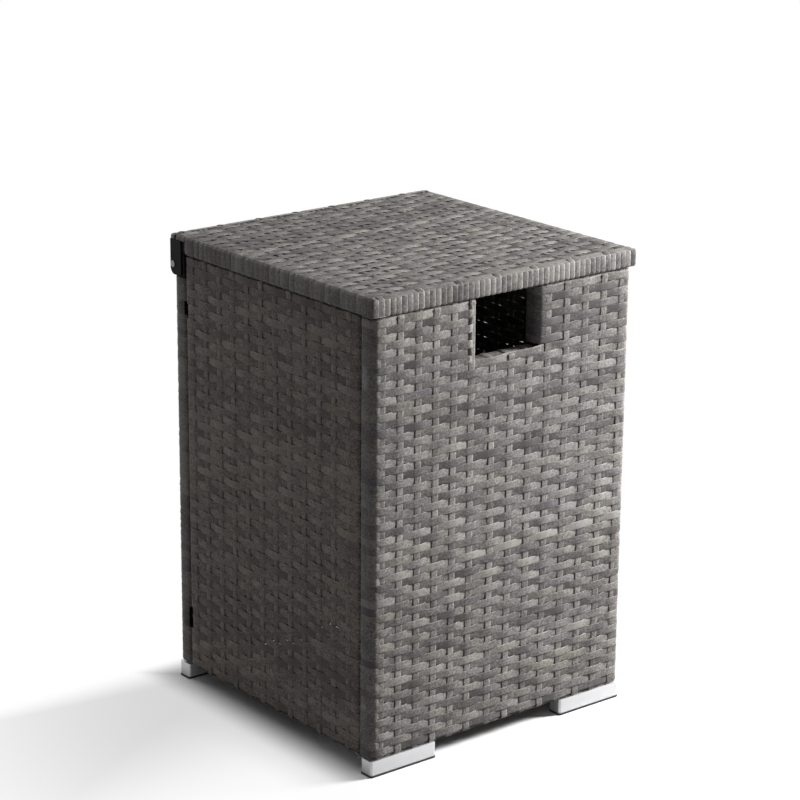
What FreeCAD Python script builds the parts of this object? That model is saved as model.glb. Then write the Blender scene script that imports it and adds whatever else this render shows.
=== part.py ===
import FreeCAD, Part
import math
import os

# Square cover table that stands over an upright gas tank, in millimetres.
# The origin is on the floor under the middle of the table, the window side faces -Y, +Z is up.

# Overall sizes
table_width = 400.0
table_depth = 400.0
table_height = 580.0
lid_thickness = 23.0
lid_overhang = 3.0
lid_gap = 0.5
foot_height = 20.0

# Woven skin and the square steel tube that it is wound on
weave_thickness = 3.0
weave_edge_radius = 4.0
tube_side = 18.0
tube_wall = 1.2
panel_gap = 1.0
mid_rail_height = 290.0

# Rows of strand that show as relief on the woven skin
row_relief = 0.9
row_margin = 4.5
front_rows_beside_window = 8
front_rows_below_window = 49
back_rows = 57
side_rows = 55
lid_rows = 41
lid_ribs = 49
lid_row_slope_share = 0.2

# Window for the hose in the top edge of the front panel
window_width = 94.0
window_depth = 74.0
window_offset = 1.0

# Lid frame
lid_skin_clearance = 0.3
cross_bar_offset = 66.0

# Feet under the ends of the front and back panels
foot_length = 98.0
foot_depth = 20.0
foot_wall = 2.0
foot_corner_radius = 3.0
glide_thickness = 2.5
glide_lip = 0.7
glide_plug_height = 7.0
glide_clearance = 0.1
foot_screw_inset = 17.0
foot_screw_radius = 2.2
foot_screw_length = 12.0
screw_head_radius = 4.2
screw_head_height = 2.4

# Bolted joints between the side panels and the front and back panels
joint_height_low = 86.0
joint_height_high = 488.0
bolt_radius = 3.0
bolt_tip_reach = 10.0
bolt_head_radius = 5.5
bolt_head_height = 3.6
hole_clearance = 0.2
spacer_radius = 6.0
insert_radius = 4.5
insert_depth = 12.0
insert_flange_radius = 6.5
insert_flange_thickness = 1.0
socket_across_flats = 4.0
socket_depth = 2.0

# Pivot hinges on the two rear corners
pivot_inset = 2.5
pivot_drop = 15.0
pin_radius = 2.5
pin_clearance = 0.05
pin_head_radius = 4.2
pin_head_thickness = 0.75
lid_plate_thickness = 1.9
lid_plate_width = 22.0
lid_plate_rise = 16.0
plate_drop = 28.0
plate_corner_radius = 9.0
plate_small_radius = 3.0
body_plate_back = 2.5
plate_recess_margin = 0.5

# Sizes worked out from the values above
body_width = table_width - 2 * lid_overhang
body_depth = table_depth - 2 * lid_overhang
panel_thickness = tube_side + 2 * weave_thickness
lid_bottom = table_height - lid_thickness
body_top = lid_bottom - lid_gap
body_bottom = foot_height
side_length = body_depth - 2 * (panel_thickness + panel_gap)
window_left = window_offset - window_width / 2
window_right = window_offset + window_width / 2
window_sill = body_top - window_depth
lid_skin = lid_overhang - lid_skin_clearance
lid_tube = lid_thickness - 2 * weave_thickness
edge_band = weave_thickness + tube_side
lid_edge_band = lid_skin + lid_tube
corner_x = -(body_width / 2 - weave_thickness - tube_side / 2)
corner_y = -(body_depth / 2 - weave_thickness - tube_side / 2)
side_post_end = -(side_length / 2 - weave_thickness)
front_post_face = -(body_depth / 2 - panel_thickness + weave_thickness)
pivot_y = body_depth / 2 - pivot_inset
pivot_z = lid_bottom - pivot_drop
cut_over = 1.0


def box(x0, x1, y0, y1, z0, z1):
    """A box between two corners."""
    return Part.makeBox(x1 - x0, y1 - y0, z1 - z0, FreeCAD.Vector(x0, y0, z0))


def rod(x, y, z, radius, length, direction):
    """A round bar that starts at a point and runs along a direction."""
    return Part.makeCylinder(radius, length, FreeCAD.Vector(x, y, z), FreeCAD.Vector(*direction))


def tube(x0, x1, y0, y1, z0, z1, along):
    """A hollow square tube that is open at its two ends, along X, Y or Z."""
    solid = box(x0, x1, y0, y1, z0, z1)
    w = tube_wall
    if along == "x":
        return solid.cut(box(x0 - cut_over, x1 + cut_over, y0 + w, y1 - w, z0 + w, z1 - w))
    if along == "y":
        return solid.cut(box(x0 + w, x1 - w, y0 - cut_over, y1 + cut_over, z0 + w, z1 - w))
    return solid.cut(box(x0 + w, x1 - w, y0 + w, y1 - w, z0 - cut_over, z1 + cut_over))


def mirror_x(shape):
    """The same piece on the other side of the table."""
    return shape.mirror(FreeCAD.Vector(0, 0, 0), FreeCAD.Vector(1, 0, 0))


def mirror_y(shape):
    """The same piece at the other end of the table."""
    return shape.mirror(FreeCAD.Vector(0, 0, 0), FreeCAD.Vector(0, 1, 0))


def cut_all(shape, tools):
    """A shape with every tool cut out of it."""
    for tool in tools:
        shape = shape.cut(tool)
    return shape


# Where each panel stands: its turn about Z and the place of the middle of its outer face
PANEL_PLACES = {
    "front": (0, (0, -body_depth / 2, 0)),
    "right": (90, (body_width / 2, 0, 0)),
    "back": (180, (0, body_depth / 2, 0)),
    "left": (-90, (-body_width / 2, 0, 0)),
}


def stand(shape, side):
    """Turns a panel that was built facing -Y, and stands it on its side of the table."""
    turn, place = PANEL_PLACES[side]
    placed = shape.copy()
    placed.rotate(FreeCAD.Vector(0, 0, 0), FreeCAD.Vector(0, 0, 1), turn)
    placed.translate(FreeCAD.Vector(*place))
    return placed


def panel_tubes(length, window):
    """Welded tubes of one panel, with its outer face on y = 0 and its middle on x = 0."""
    end = length / 2 - weave_thickness
    y0 = weave_thickness
    y1 = weave_thickness + tube_side
    low = body_bottom + weave_thickness
    high = body_top - weave_thickness
    inner = end - tube_side
    rail_top = low + tube_side
    tubes = [
        tube(-end, end, y0, y1, low, rail_top, "x"),
        tube(-end, -inner, y0, y1, rail_top, high, "z"),
        tube(inner, end, y0, y1, rail_top, high, "z"),
        tube(-inner, inner, y0, y1, mid_rail_height - tube_side / 2, mid_rail_height + tube_side / 2, "x"),
    ]
    if not window:
        tubes.append(tube(-inner, inner, y0, y1, high - tube_side, high, "x"))
        return tubes
    jamb_left = window_left - weave_thickness
    jamb_right = window_right + weave_thickness
    sill_top = window_sill - weave_thickness
    tubes.append(tube(-inner, inner, y0, y1, sill_top - tube_side, sill_top, "x"))
    tubes.append(tube(jamb_left - tube_side, jamb_left, y0, y1, sill_top, high, "z"))
    tubes.append(tube(jamb_right, jamb_right + tube_side, y0, y1, sill_top, high, "z"))
    tubes.append(tube(-inner, jamb_left - tube_side, y0, y1, high - tube_side, high, "x"))
    tubes.append(tube(jamb_right + tube_side, inner, y0, y1, high - tube_side, high, "x"))
    return tubes


def window_cut(grow, y0, y1):
    """The window's space in the front panel, grown on its left, right and lower sides."""
    x0 = window_left - grow
    x1 = window_right + grow
    return box(x0, x1, y0, y1, window_sill - grow, body_top + cut_over)


def rounded_slab(outline, y0, y1, radius):
    """An outline in the XZ plane, pulled from y0 to y1, with all its outward edges rounded."""
    points = [FreeCAD.Vector(x, y0, z) for x, z in outline]
    face = Part.Face(Part.makePolygon(points + points[:1]))
    slab = face.extrude(FreeCAD.Vector(0, y1 - y0, 0))
    return slab.makeFillet(radius, slab.Edges)


def scallops(start, end, count, bulge):
    """Shallow arcs side by side along a line, each bulging from it at its middle."""
    step = (end - start) * (1.0 / count)
    edges = []
    for i in range(count):
        low = start + step * i
        high = low + step
        edges.append(Part.Arc(low, (low + high) * 0.5 + bulge, high).toShape())
    return edges


def straight(points):
    """Straight edges from point to point."""
    return [Part.makeLine(points[i], points[i + 1]) for i in range(len(points) - 1)]


def flat_crests(start, end, count, rise):
    """Rows side by side along a line, each a flat crest between two short slopes."""
    step = (end - start) * (1.0 / count)
    slope = step * lid_row_slope_share
    points = []
    for i in range(count):
        low = start + step * i
        points += [low, low + slope + rise, low + step - slope + rise]
    return straight(points + [end])


def pulled(edges, pull):
    """The space inside a closed loop of edges, pulled along a vector."""
    wire = Part.Wire(Part.__sortEdges__(edges))
    return Part.Face(wire).extrude(pull)


def row_runs(side):
    """Stretches of evenly spaced rows on one panel, as lower height, upper height and count."""
    low = body_bottom + row_margin
    high = body_top - row_margin
    if side == "front":
        return [(low, window_sill, front_rows_below_window), (window_sill, high, front_rows_beside_window)]
    return [(low, high, back_rows if side == "back" else side_rows)]


def row_prism(runs, near, far, pull):
    """The space of a panel's rows, which bulge on two opposite sides."""
    inward = (far - near).normalize() * row_relief
    near = near + inward
    far = far - inward
    edges = []
    for low, high, count in runs:
        low_rise = FreeCAD.Vector(0, 0, low)
        high_rise = FreeCAD.Vector(0, 0, high)
        edges += scallops(near + low_rise, near + high_rise, count, inward * -1)
        edges += scallops(far + low_rise, far + high_rise, count, inward)
    for first, last in ((runs[0][0], body_bottom - cut_over), (runs[-1][1], body_top + cut_over)):
        start = FreeCAD.Vector(0, 0, first)
        end = FreeCAD.Vector(0, 0, last)
        edges += straight([near + start, near + end, far + end, far + start])
    return pulled(edges, pull)


def with_rows(slab, side, half):
    """A panel's slab with the relief of its rows on its faces and its upright ends."""
    over = cut_over
    runs = row_runs(side)
    outer = FreeCAD.Vector(-half - over, 0, 0)
    inner = FreeCAD.Vector(-half - over, panel_thickness, 0)
    faces = row_prism(runs, outer, inner, FreeCAD.Vector(2 * (half + over), 0, 0))
    left_end = FreeCAD.Vector(-half, -over, 0)
    right_end = FreeCAD.Vector(half, -over, 0)
    ends = row_prism(runs, left_end, right_end, FreeCAD.Vector(0, panel_thickness + 2 * over, 0))
    return slab.common(faces).common(ends)


def panel_skin(side, length):
    """Woven skin of one panel: the outer face and the wraps round the edge tubes, open inwards."""
    window = side == "front"
    t = panel_thickness
    half = length / 2
    outline = [(-half, body_bottom), (half, body_bottom), (half, body_top)]
    if window:
        outline += [(window_right, body_top), (window_right, window_sill)]
        outline += [(window_left, window_sill), (window_left, body_top)]
    outline.append((-half, body_top))
    skin = with_rows(rounded_slab(outline, 0, t, weave_edge_radius), side, half)
    w = weave_thickness
    tube_room = box(-half + w, half - w, w, t - w, body_bottom + w, body_top - w)
    open_back = box(-half + edge_band, half - edge_band, t - w - cut_over, t + cut_over,
                    body_bottom + edge_band, body_top - edge_band)
    if window:
        tube_room = tube_room.cut(window_cut(w, 0, t))
        open_back = open_back.cut(window_cut(edge_band, 0, t + 2 * cut_over))
    return cut_all(skin, [tube_room, open_back])


def panel_weave(skin, length):
    """The flat woven face, cut from the skin of one panel."""
    over = cut_over
    face = box(-length / 2 - over, length / 2 + over, -over, weave_thickness, 0, body_top + over)
    return skin.common(face)


def panel_wraps(skin, length, window):
    """The wraps round the posts and rails of one panel, cut from its skin, each its own solid."""
    over = cut_over
    half = length / 2
    y0 = weave_thickness
    y1 = panel_thickness + over
    z_low = body_bottom + edge_band
    z_high = body_top - edge_band
    bottom = body_bottom - over
    top = body_top + over
    zones = [
        box(-half - over, -half + edge_band, y0, y1, bottom, top),
        box(half - edge_band, half + over, y0, y1, bottom, top),
        box(-half + edge_band, half - edge_band, y0, y1, bottom, z_low),
    ]
    if window:
        jamb_left = window_left - edge_band
        jamb_right = window_right + edge_band
        sill_low = window_sill - edge_band
        zones += [
            box(-half + edge_band, jamb_left, y0, y1, z_high, top),
            box(jamb_right, half - edge_band, y0, y1, z_high, top),
            box(jamb_left, window_left, y0, y1, sill_low, top),
            box(window_right, jamb_right, y0, y1, sill_low, top),
            box(window_left, window_right, y0, y1, sill_low, window_sill + over),
        ]
    else:
        zones.append(box(-half + edge_band, half - edge_band, y0, y1, z_high, top))
    return [skin.common(zone) for zone in zones]


def at_joints(make):
    """One piece at each height where a corner is bolted, at the front left corner."""
    return [make(joint_height_low), make(joint_height_high)]


def at_corners(pieces):
    """Pieces of the front left corner, repeated at all four corners."""
    front_left = list(pieces)
    front_right = [mirror_x(piece) for piece in front_left]
    back_left = [mirror_y(piece) for piece in front_left]
    back_right = [mirror_y(piece) for piece in front_right]
    return {
        "front_left": front_left,
        "front_right": front_right,
        "back_left": back_left,
        "back_right": back_right,
    }


def joint_bolt(z):
    """Bolt from inside the side panel, through its post, into the front panel's post."""
    head_face = side_post_end + tube_side
    length = head_face - front_post_face + bolt_tip_reach
    shank = rod(corner_x, head_face, z, bolt_radius, length, (0, -1, 0))
    head = rod(corner_x, head_face, z, bolt_head_radius, bolt_head_height, (0, 1, 0))
    corner_reach = socket_across_flats / math.sqrt(3)
    corners = []
    for step in range(6):
        angle = math.radians(60 * step)
        x = corner_x + corner_reach * math.cos(angle)
        corners.append(FreeCAD.Vector(x, head_face + bolt_head_height, z + corner_reach * math.sin(angle)))
    socket = Part.Face(Part.makePolygon(corners + corners[:1])).extrude(FreeCAD.Vector(0, -socket_depth, 0))
    return shank.fuse(head).cut(socket).removeSplitter()


def joint_spacer(z):
    """Bush that keeps the side post off the front post, with the weave parted around it."""
    start = front_post_face + insert_flange_thickness
    length = side_post_end - start
    bush = rod(corner_x, start, z, spacer_radius, length, (0, 1, 0))
    bore = rod(corner_x, start - cut_over, z, bolt_radius + hole_clearance, length + 2 * cut_over, (0, 1, 0))
    return bush.cut(bore)


def joint_insert(z):
    """Threaded insert in the inner wall of the front post."""
    sleeve = rod(corner_x, front_post_face - insert_depth, z, insert_radius, insert_depth, (0, 1, 0))
    flange = rod(corner_x, front_post_face, z, insert_flange_radius, insert_flange_thickness, (0, 1, 0))
    bore_length = insert_depth + insert_flange_thickness + 2 * cut_over
    bore_radius = bolt_radius + hole_clearance / 2
    bore = rod(corner_x, front_post_face - insert_depth - cut_over, z, bore_radius, bore_length, (0, 1, 0))
    return sleeve.fuse(flange).cut(bore).removeSplitter()


def post_bolt_holes(z):
    """Space for the bolt through the side panel's post."""
    start = side_post_end - cut_over
    return rod(corner_x, start, z, bolt_radius + hole_clearance, tube_side + 2 * cut_over, (0, 1, 0))


def post_insert_hole(z):
    """Space for the insert in the front panel's post."""
    length = tube_wall + 2 * cut_over
    return rod(corner_x, front_post_face - tube_wall - cut_over, z, insert_radius + hole_clearance / 2,
               length, (0, 1, 0))


def weave_spacer_hole(z):
    """Space for the insert's flange and the bush where they pass the two woven skins."""
    radius = max(spacer_radius, insert_flange_radius) + hole_clearance
    return rod(corner_x, front_post_face, z, radius, side_post_end - front_post_face, (0, 1, 0))


def foot():
    """Aluminium foot: a shallow cap that is open below, with rounded upright corners."""
    x0 = -body_width / 2
    x1 = x0 + foot_length
    y0 = -body_depth / 2
    y1 = y0 + foot_depth
    outer = box(x0, x1, y0, y1, glide_thickness, foot_height)
    outer = outer.makeFillet(foot_corner_radius, [e for e in outer.Edges if is_upright(e)])
    w = foot_wall
    inside = box(x0 + w, x1 - w, y0 + w, y1 - w, glide_thickness - cut_over, foot_height - w)
    return cut_all(outer.cut(inside), [screw_hole(x) for x in foot_screw_places()])


def is_upright(edge):
    """True for a straight edge that runs along Z."""
    low, high = edge.Vertexes[0].Point, edge.Vertexes[-1].Point
    return abs(low.x - high.x) < 1e-6 and abs(low.y - high.y) < 1e-6


def foot_screw_places():
    """X of the two screws that hold the front left foot."""
    x0 = -body_width / 2
    return [x0 + foot_screw_inset, x0 + foot_length - foot_screw_inset]


def foot_screw(x):
    """Pan-head screw inside a foot, up through the weave into the bottom rail."""
    z = foot_height - foot_wall
    shank = rod(x, corner_y, z, foot_screw_radius, foot_screw_length, (0, 0, 1))
    head = rod(x, corner_y, z - screw_head_height, screw_head_radius, screw_head_height, (0, 0, 1))
    return shank.fuse(head).removeSplitter()


def screw_hole(x):
    """Space for one foot screw through the foot, the weave and the rail's lower wall."""
    z0 = foot_height - foot_wall - cut_over
    z1 = foot_height + weave_thickness + tube_wall + cut_over
    return rod(x, corner_y, z0, foot_screw_radius + hole_clearance, z1 - z0, (0, 0, 1))


def glide():
    """Black glide strip with a plug that fills the mouth of the foot."""
    x0 = -body_width / 2
    x1 = x0 + foot_length
    y0 = -body_depth / 2
    y1 = y0 + foot_depth
    lip = glide_lip
    strip = box(x0 - lip, x1 + lip, y0 - lip, y1 + lip, 0, glide_thickness)
    strip = strip.makeFillet(foot_corner_radius + lip, [e for e in strip.Edges if is_upright(e)])
    inset = foot_wall + glide_clearance
    plug_top = glide_thickness + glide_plug_height
    plug = box(x0 + inset, x1 - inset, y0 + inset, y1 - inset, glide_thickness, plug_top)
    return strip.fuse(plug).removeSplitter()


def lid_tubes():
    """Welded tubes of the lid: two full sides, front and back between them, two cross bars."""
    out_x = table_width / 2 - lid_skin
    out_y = table_depth / 2 - lid_skin
    in_x = out_x - lid_tube
    in_y = out_y - lid_tube
    z0 = lid_bottom + weave_thickness
    z1 = z0 + lid_tube
    tubes = [
        tube(-out_x, -in_x, -out_y, out_y, z0, z1, "y"),
        tube(in_x, out_x, -out_y, out_y, z0, z1, "y"),
        tube(-in_x, in_x, -out_y, -in_y, z0, z1, "x"),
        tube(-in_x, in_x, in_y, out_y, z0, z1, "x"),
    ]
    for y in (-cross_bar_offset, cross_bar_offset):
        tubes.append(tube(-in_x, in_x, y - lid_tube / 2, y + lid_tube / 2, z0, z1, "x"))
    return tubes


def lid_rib_space():
    """The lid's space seen from above: ribs bulge on its front and back, rows on its sides."""
    r = row_relief
    x = table_width / 2 - r
    y = table_depth / 2 - r
    z = lid_bottom - cut_over
    corners = [FreeCAD.Vector(*place) for place in ((-x, -y, z), (x, -y, z), (x, y, z), (-x, y, z))]
    edges = scallops(corners[0], corners[1], lid_ribs, FreeCAD.Vector(0, -r, 0))
    edges += scallops(corners[1], corners[2], lid_rows, FreeCAD.Vector(r, 0, 0))
    edges += scallops(corners[2], corners[3], lid_ribs, FreeCAD.Vector(0, r, 0))
    edges += scallops(corners[3], corners[0], lid_rows, FreeCAD.Vector(-r, 0, 0))
    return pulled(edges, FreeCAD.Vector(0, 0, lid_thickness + 2 * cut_over))


def lid_row_space():
    """The lid's space seen from its side: rows stand up on its top, with their crests in one plane."""
    x = -table_width / 2 - cut_over
    y = table_depth / 2
    z = table_height - row_relief
    low = lid_bottom - cut_over
    edges = flat_crests(FreeCAD.Vector(x, -y, z), FreeCAD.Vector(x, y, z), lid_rows,
                        FreeCAD.Vector(0, 0, row_relief))
    edges += straight([FreeCAD.Vector(x, -y, z), FreeCAD.Vector(x, -y, low),
                       FreeCAD.Vector(x, y, low), FreeCAD.Vector(x, y, z)])
    return pulled(edges, FreeCAD.Vector(table_width + 2 * cut_over, 0, 0))


def lid_skin_shape():
    """Woven skin of the lid: the top and the wraps round the edge tubes, open below."""
    half_x = table_width / 2
    half_y = table_depth / 2
    slab = box(-half_x, half_x, -half_y, half_y, lid_bottom, table_height)
    slab = slab.makeFillet(weave_edge_radius, slab.Edges)
    slab = slab.common(lid_rib_space()).common(lid_row_space())
    w = weave_thickness
    s = lid_skin
    tube_room = box(-half_x + s, half_x - s, -half_y + s, half_y - s, lid_bottom + w, table_height - w)
    band = lid_edge_band
    open_below = box(-half_x + band, half_x - band, -half_y + band, half_y - band,
                     lid_bottom - cut_over, lid_bottom + w + cut_over)
    recess = lid_plate_recess()
    return cut_all(slab, [tube_room, open_below, recess, mirror_x(recess)])


def lid_weave(skin):
    """The flat woven top, cut from the lid's skin."""
    over = cut_over
    half_x = table_width / 2 + over
    half_y = table_depth / 2 + over
    face = box(-half_x, half_x, -half_y, half_y, table_height - weave_thickness, table_height + over)
    return skin.common(face)


def lid_wraps(skin):
    """The wraps round the lid's four edge tubes, cut from its skin, each its own solid."""
    over = cut_over
    half_x = table_width / 2
    half_y = table_depth / 2
    in_x = half_x - lid_edge_band
    in_y = half_y - lid_edge_band
    z0 = lid_bottom - over
    z1 = table_height - weave_thickness
    zones = [
        box(-half_x - over, -in_x, -half_y - over, half_y + over, z0, z1),
        box(in_x, half_x + over, -half_y - over, half_y + over, z0, z1),
        box(-in_x, in_x, -half_y - over, -in_y, z0, z1),
        box(-in_x, in_x, in_y, half_y + over, z0, z1),
    ]
    return [skin.common(zone) for zone in zones]


def lid_plate_recess():
    """Space for the lid's left hinge plate in the lid's skin."""
    y0 = table_depth / 2 - lid_plate_width - plate_recess_margin
    top = lid_bottom + lid_plate_rise + plate_recess_margin
    return box(-table_width / 2 - cut_over, -table_width / 2 + lid_skin, y0, table_depth / 2 + cut_over,
               lid_bottom - cut_over, top)


def plate_outline(x, y0, y1, z0, z1):
    """A hinge plate's outline in the YZ plane, with a large round at its lower rear corner."""
    big = plate_corner_radius
    small = plate_small_radius

    def at(y, z):
        return FreeCAD.Vector(x, y, z)

    big_mid = big * (1 - math.sqrt(0.5))
    small_mid = small * (1 - math.sqrt(0.5))
    edges = [
        Part.LineSegment(at(y0, z1), at(y1, z1)).toShape(),
        Part.LineSegment(at(y1, z1), at(y1, z0 + big)).toShape(),
        Part.Arc(at(y1, z0 + big), at(y1 - big_mid, z0 + big_mid), at(y1 - big, z0)).toShape(),
        Part.LineSegment(at(y1 - big, z0), at(y0 + small, z0)).toShape(),
        Part.Arc(at(y0 + small, z0), at(y0 + small_mid, z0 + small_mid), at(y0, z0 + small)).toShape(),
        Part.LineSegment(at(y0, z0 + small), at(y0, z1)).toShape(),
    ]
    return Part.Face(Part.Wire(edges))


def lid_hinge_plate():
    """Left steel plate that is welded to the lid's side tube and hangs below the lid."""
    x = -(table_width / 2 - lid_skin)
    y1 = table_depth / 2
    face = plate_outline(x, y1 - lid_plate_width, y1, lid_bottom - plate_drop, lid_bottom + lid_plate_rise)
    plate = face.extrude(FreeCAD.Vector(-lid_plate_thickness, 0, 0))
    bore = rod(x + cut_over, pivot_y, pivot_z, pin_radius + pin_clearance,
               lid_plate_thickness + 2 * cut_over, (-1, 0, 0))
    return plate.cut(bore)


def body_hinge_plate():
    """Left steel plate that is welded to the back panel's post and carries the pin."""
    x = -(body_width / 2 - weave_thickness)
    y0 = body_depth / 2 - panel_thickness + plate_recess_margin
    y1 = body_depth / 2 + body_plate_back
    face = plate_outline(x, y0, y1, lid_bottom - plate_drop, body_top - plate_recess_margin)
    plate = face.extrude(FreeCAD.Vector(-weave_thickness, 0, 0))
    bore = rod(x + cut_over, pivot_y, pivot_z, pin_radius + pin_clearance / 2,
               weave_thickness + 2 * cut_over, (-1, 0, 0))
    return plate.cut(bore)


def body_plate_recess():
    """Space for the left body plate in the back panel's woven end."""
    y0 = body_depth / 2 - panel_thickness - cut_over
    y1 = body_depth / 2 + cut_over
    x0 = -body_width / 2 - cut_over
    x1 = -body_width / 2 + weave_thickness
    z0 = lid_bottom - plate_drop - plate_recess_margin
    return box(x0, x1, y0, y1, z0, body_top + cut_over)


def hinge_pin():
    """Left pivot pin: riveted in the body's plate, with its head outside the lid's plate."""
    x_in = -(body_width / 2 - weave_thickness)
    x_head = -(table_width / 2 - pin_head_thickness)
    shank = rod(x_in, pivot_y, pivot_z, pin_radius, x_in - x_head, (-1, 0, 0))
    head = rod(x_head, pivot_y, pivot_z, pin_head_radius, pin_head_thickness, (-1, 0, 0))
    return shank.fuse(head).removeSplitter()


def panel_pieces():
    """Each panel's frame tubes, its woven face and its edge wraps, with their holes."""
    corners_bolt = at_corners(at_joints(post_bolt_holes))
    corners_insert = at_corners(at_joints(post_insert_hole))
    corners_spacer = at_corners(at_joints(weave_spacer_hole))
    corners_screw = at_corners([screw_hole(x) for x in foot_screw_places()])
    plate_recesses = [body_plate_recess(), mirror_x(body_plate_recess())]
    lengths = {"front": body_width, "back": body_width, "left": side_length, "right": side_length}
    nodes = {}
    for side, length in lengths.items():
        window = side == "front"
        across = side in ("front", "back")
        tube_holes = []
        skin_holes = list(plate_recesses) if side == "back" else []
        for corner in corners_bolt:
            if side not in corner.split("_"):
                continue
            tube_holes += (corners_insert if across else corners_bolt)[corner]
            skin_holes += corners_spacer[corner]
            if across:
                tube_holes += corners_screw[corner]
                skin_holes += corners_screw[corner]
        skin = panel_skin(side, length)
        tubes = panel_tubes(length, window)
        wraps = panel_wraps(skin, length, window)
        nodes[side + "_panel_frame"] = [cut_all(stand(piece, side), tube_holes) for piece in tubes]
        weave = panel_weave(skin, length)
        nodes[side + "_panel_weave"] = [cut_all(stand(weave, side), skin_holes)]
        nodes[side + "_panel_edge_wraps"] = [cut_all(stand(wrap, side), skin_holes) for wrap in wraps]
    return nodes


def build():
    """Every node of the table, as a list of separate solids under its name."""
    nodes = panel_pieces()
    skin = lid_skin_shape()
    nodes["lid_frame"] = lid_tubes()
    nodes["lid_weave"] = [lid_weave(skin)]
    nodes["lid_edge_wraps"] = lid_wraps(skin)
    corner_sets = {
        "foot": at_corners([foot()]),
        "glide": at_corners([glide()]),
        "foot_screws": at_corners([foot_screw(x) for x in foot_screw_places()]),
        "joint_bolts": at_corners(at_joints(joint_bolt)),
        "joint_spacers": at_corners(at_joints(joint_spacer)),
        "joint_inserts": at_corners(at_joints(joint_insert)),
    }
    for piece_name, corners in corner_sets.items():
        for corner, pieces in corners.items():
            nodes[corner + "_" + piece_name] = pieces
    hinge_sets = {
        "lid_hinge_plate": lid_hinge_plate(),
        "body_hinge_plate": body_hinge_plate(),
        "hinge_pin": hinge_pin(),
    }
    for piece_name, piece in hinge_sets.items():
        nodes["left_" + piece_name] = [piece]
        nodes["right_" + piece_name] = [mirror_x(piece)]
    return nodes


def save(nodes):
    """Writes one STEP file for each node and prints what each one holds."""
    os.makedirs("parts", exist_ok=True)
    for name, pieces in nodes.items():
        solids = [solid for piece in pieces for solid in piece.Solids]
        shape = solids[0] if len(solids) == 1 else Part.Compound(solids)
        shape.exportStep(os.path.join("parts", name + ".step"))
        volume = sum(solid.Volume for solid in solids)
        print(name, len(solids), "solids, valid", shape.isValid(), "volume %.0f" % volume)


save(build())
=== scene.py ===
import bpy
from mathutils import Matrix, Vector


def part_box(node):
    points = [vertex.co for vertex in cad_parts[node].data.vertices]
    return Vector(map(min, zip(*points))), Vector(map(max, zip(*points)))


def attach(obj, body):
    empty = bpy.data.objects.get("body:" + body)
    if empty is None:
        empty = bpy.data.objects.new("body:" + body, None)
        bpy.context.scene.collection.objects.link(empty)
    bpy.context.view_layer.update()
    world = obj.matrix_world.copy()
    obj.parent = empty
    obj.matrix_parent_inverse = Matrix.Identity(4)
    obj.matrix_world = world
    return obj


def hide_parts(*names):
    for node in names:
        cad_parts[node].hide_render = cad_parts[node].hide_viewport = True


bl_info = {
    "name": "Woven Tank Cover Table",
    "version": (1, 0, 0),
    "blender": (4, 5, 0),
    "location": "View3D > Sidebar > Cover Table",
    "description": "Weaves, finishes and lights a square cover table of flat resin strand",
    "category": "Object",
}

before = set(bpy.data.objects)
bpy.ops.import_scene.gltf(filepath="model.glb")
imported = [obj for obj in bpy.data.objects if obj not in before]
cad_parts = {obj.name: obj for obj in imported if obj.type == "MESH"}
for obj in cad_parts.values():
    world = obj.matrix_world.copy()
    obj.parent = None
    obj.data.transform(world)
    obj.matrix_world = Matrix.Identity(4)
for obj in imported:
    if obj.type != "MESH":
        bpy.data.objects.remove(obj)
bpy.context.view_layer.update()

import math
from dataclasses import dataclass

import bmesh
import bpy
import numpy as np
from bpy.props import EnumProperty, FloatProperty, FloatVectorProperty, IntProperty, PointerProperty
from mathutils import Matrix, Vector

MM = 0.001

# Sizes read from the frame
front_low, front_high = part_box("front_panel_weave")
_, front_wrap_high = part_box("front_panel_edge_wraps")
_, front_tube_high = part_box("front_panel_frame")
left_low, left_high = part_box("left_panel_weave")
_, lid_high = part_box("lid_weave")
lid_wrap_low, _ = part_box("lid_edge_wraps")
lid_tube_low, lid_tube_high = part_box("lid_frame")
hinge_low, hinge_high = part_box("left_lid_hinge_plate")
body_plate_low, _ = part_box("left_body_hinge_plate")
spacer_low, spacer_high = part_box("front_left_joint_spacers")
body_bottom = front_low.z
body_top = front_high.z
panel_depth = front_wrap_high.y - front_low.y
panel_band = front_tube_high.y - front_low.y
front_half = front_high.x
side_half = left_high.y
lid_half = lid_high.x
lid_top = lid_high.z
lid_depth = lid_top - lid_wrap_low.z
lid_band = lid_half - lid_tube_high.x + (lid_tube_high.z - lid_tube_low.z)

SPACER_RADIUS = 6.0 * MM
joint_heights = (spacer_low.z + SPACER_RADIUS, spacer_high.z - SPACER_RADIUS)


def length(name, description, default, low=0.0, high=1.0):
    """A length that a user can change, in metres."""
    return FloatProperty(name=name, description=description, default=default, min=low, max=high,
                         unit="LENGTH", subtype="DISTANCE", precision=5)


def share(name, description, default):
    """A plain number from 0 to 1 that a user can change."""
    return FloatProperty(name=name, description=description, default=default, min=0.0, max=1.0,
                         subtype="FACTOR")


def angle(name, description, default):
    """An angle that a user can change, in radians."""
    return FloatProperty(name=name, description=description, default=default, unit="ROTATION",
                         subtype="ANGLE")


def power(name, description, default):
    """A lamp's power that a user can change, in watts."""
    return FloatProperty(name=name, description=description, default=default, unit="POWER")


def colour(name, description, default):
    """A colour that a user can change."""
    return FloatVectorProperty(name=name, description=description, default=default, size=3,
                               min=0.0, max=1.0, subtype="COLOR")


def count(name, description, default):
    """A whole number that a user can change."""
    return IntProperty(name=name, description=description, default=default)


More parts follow.
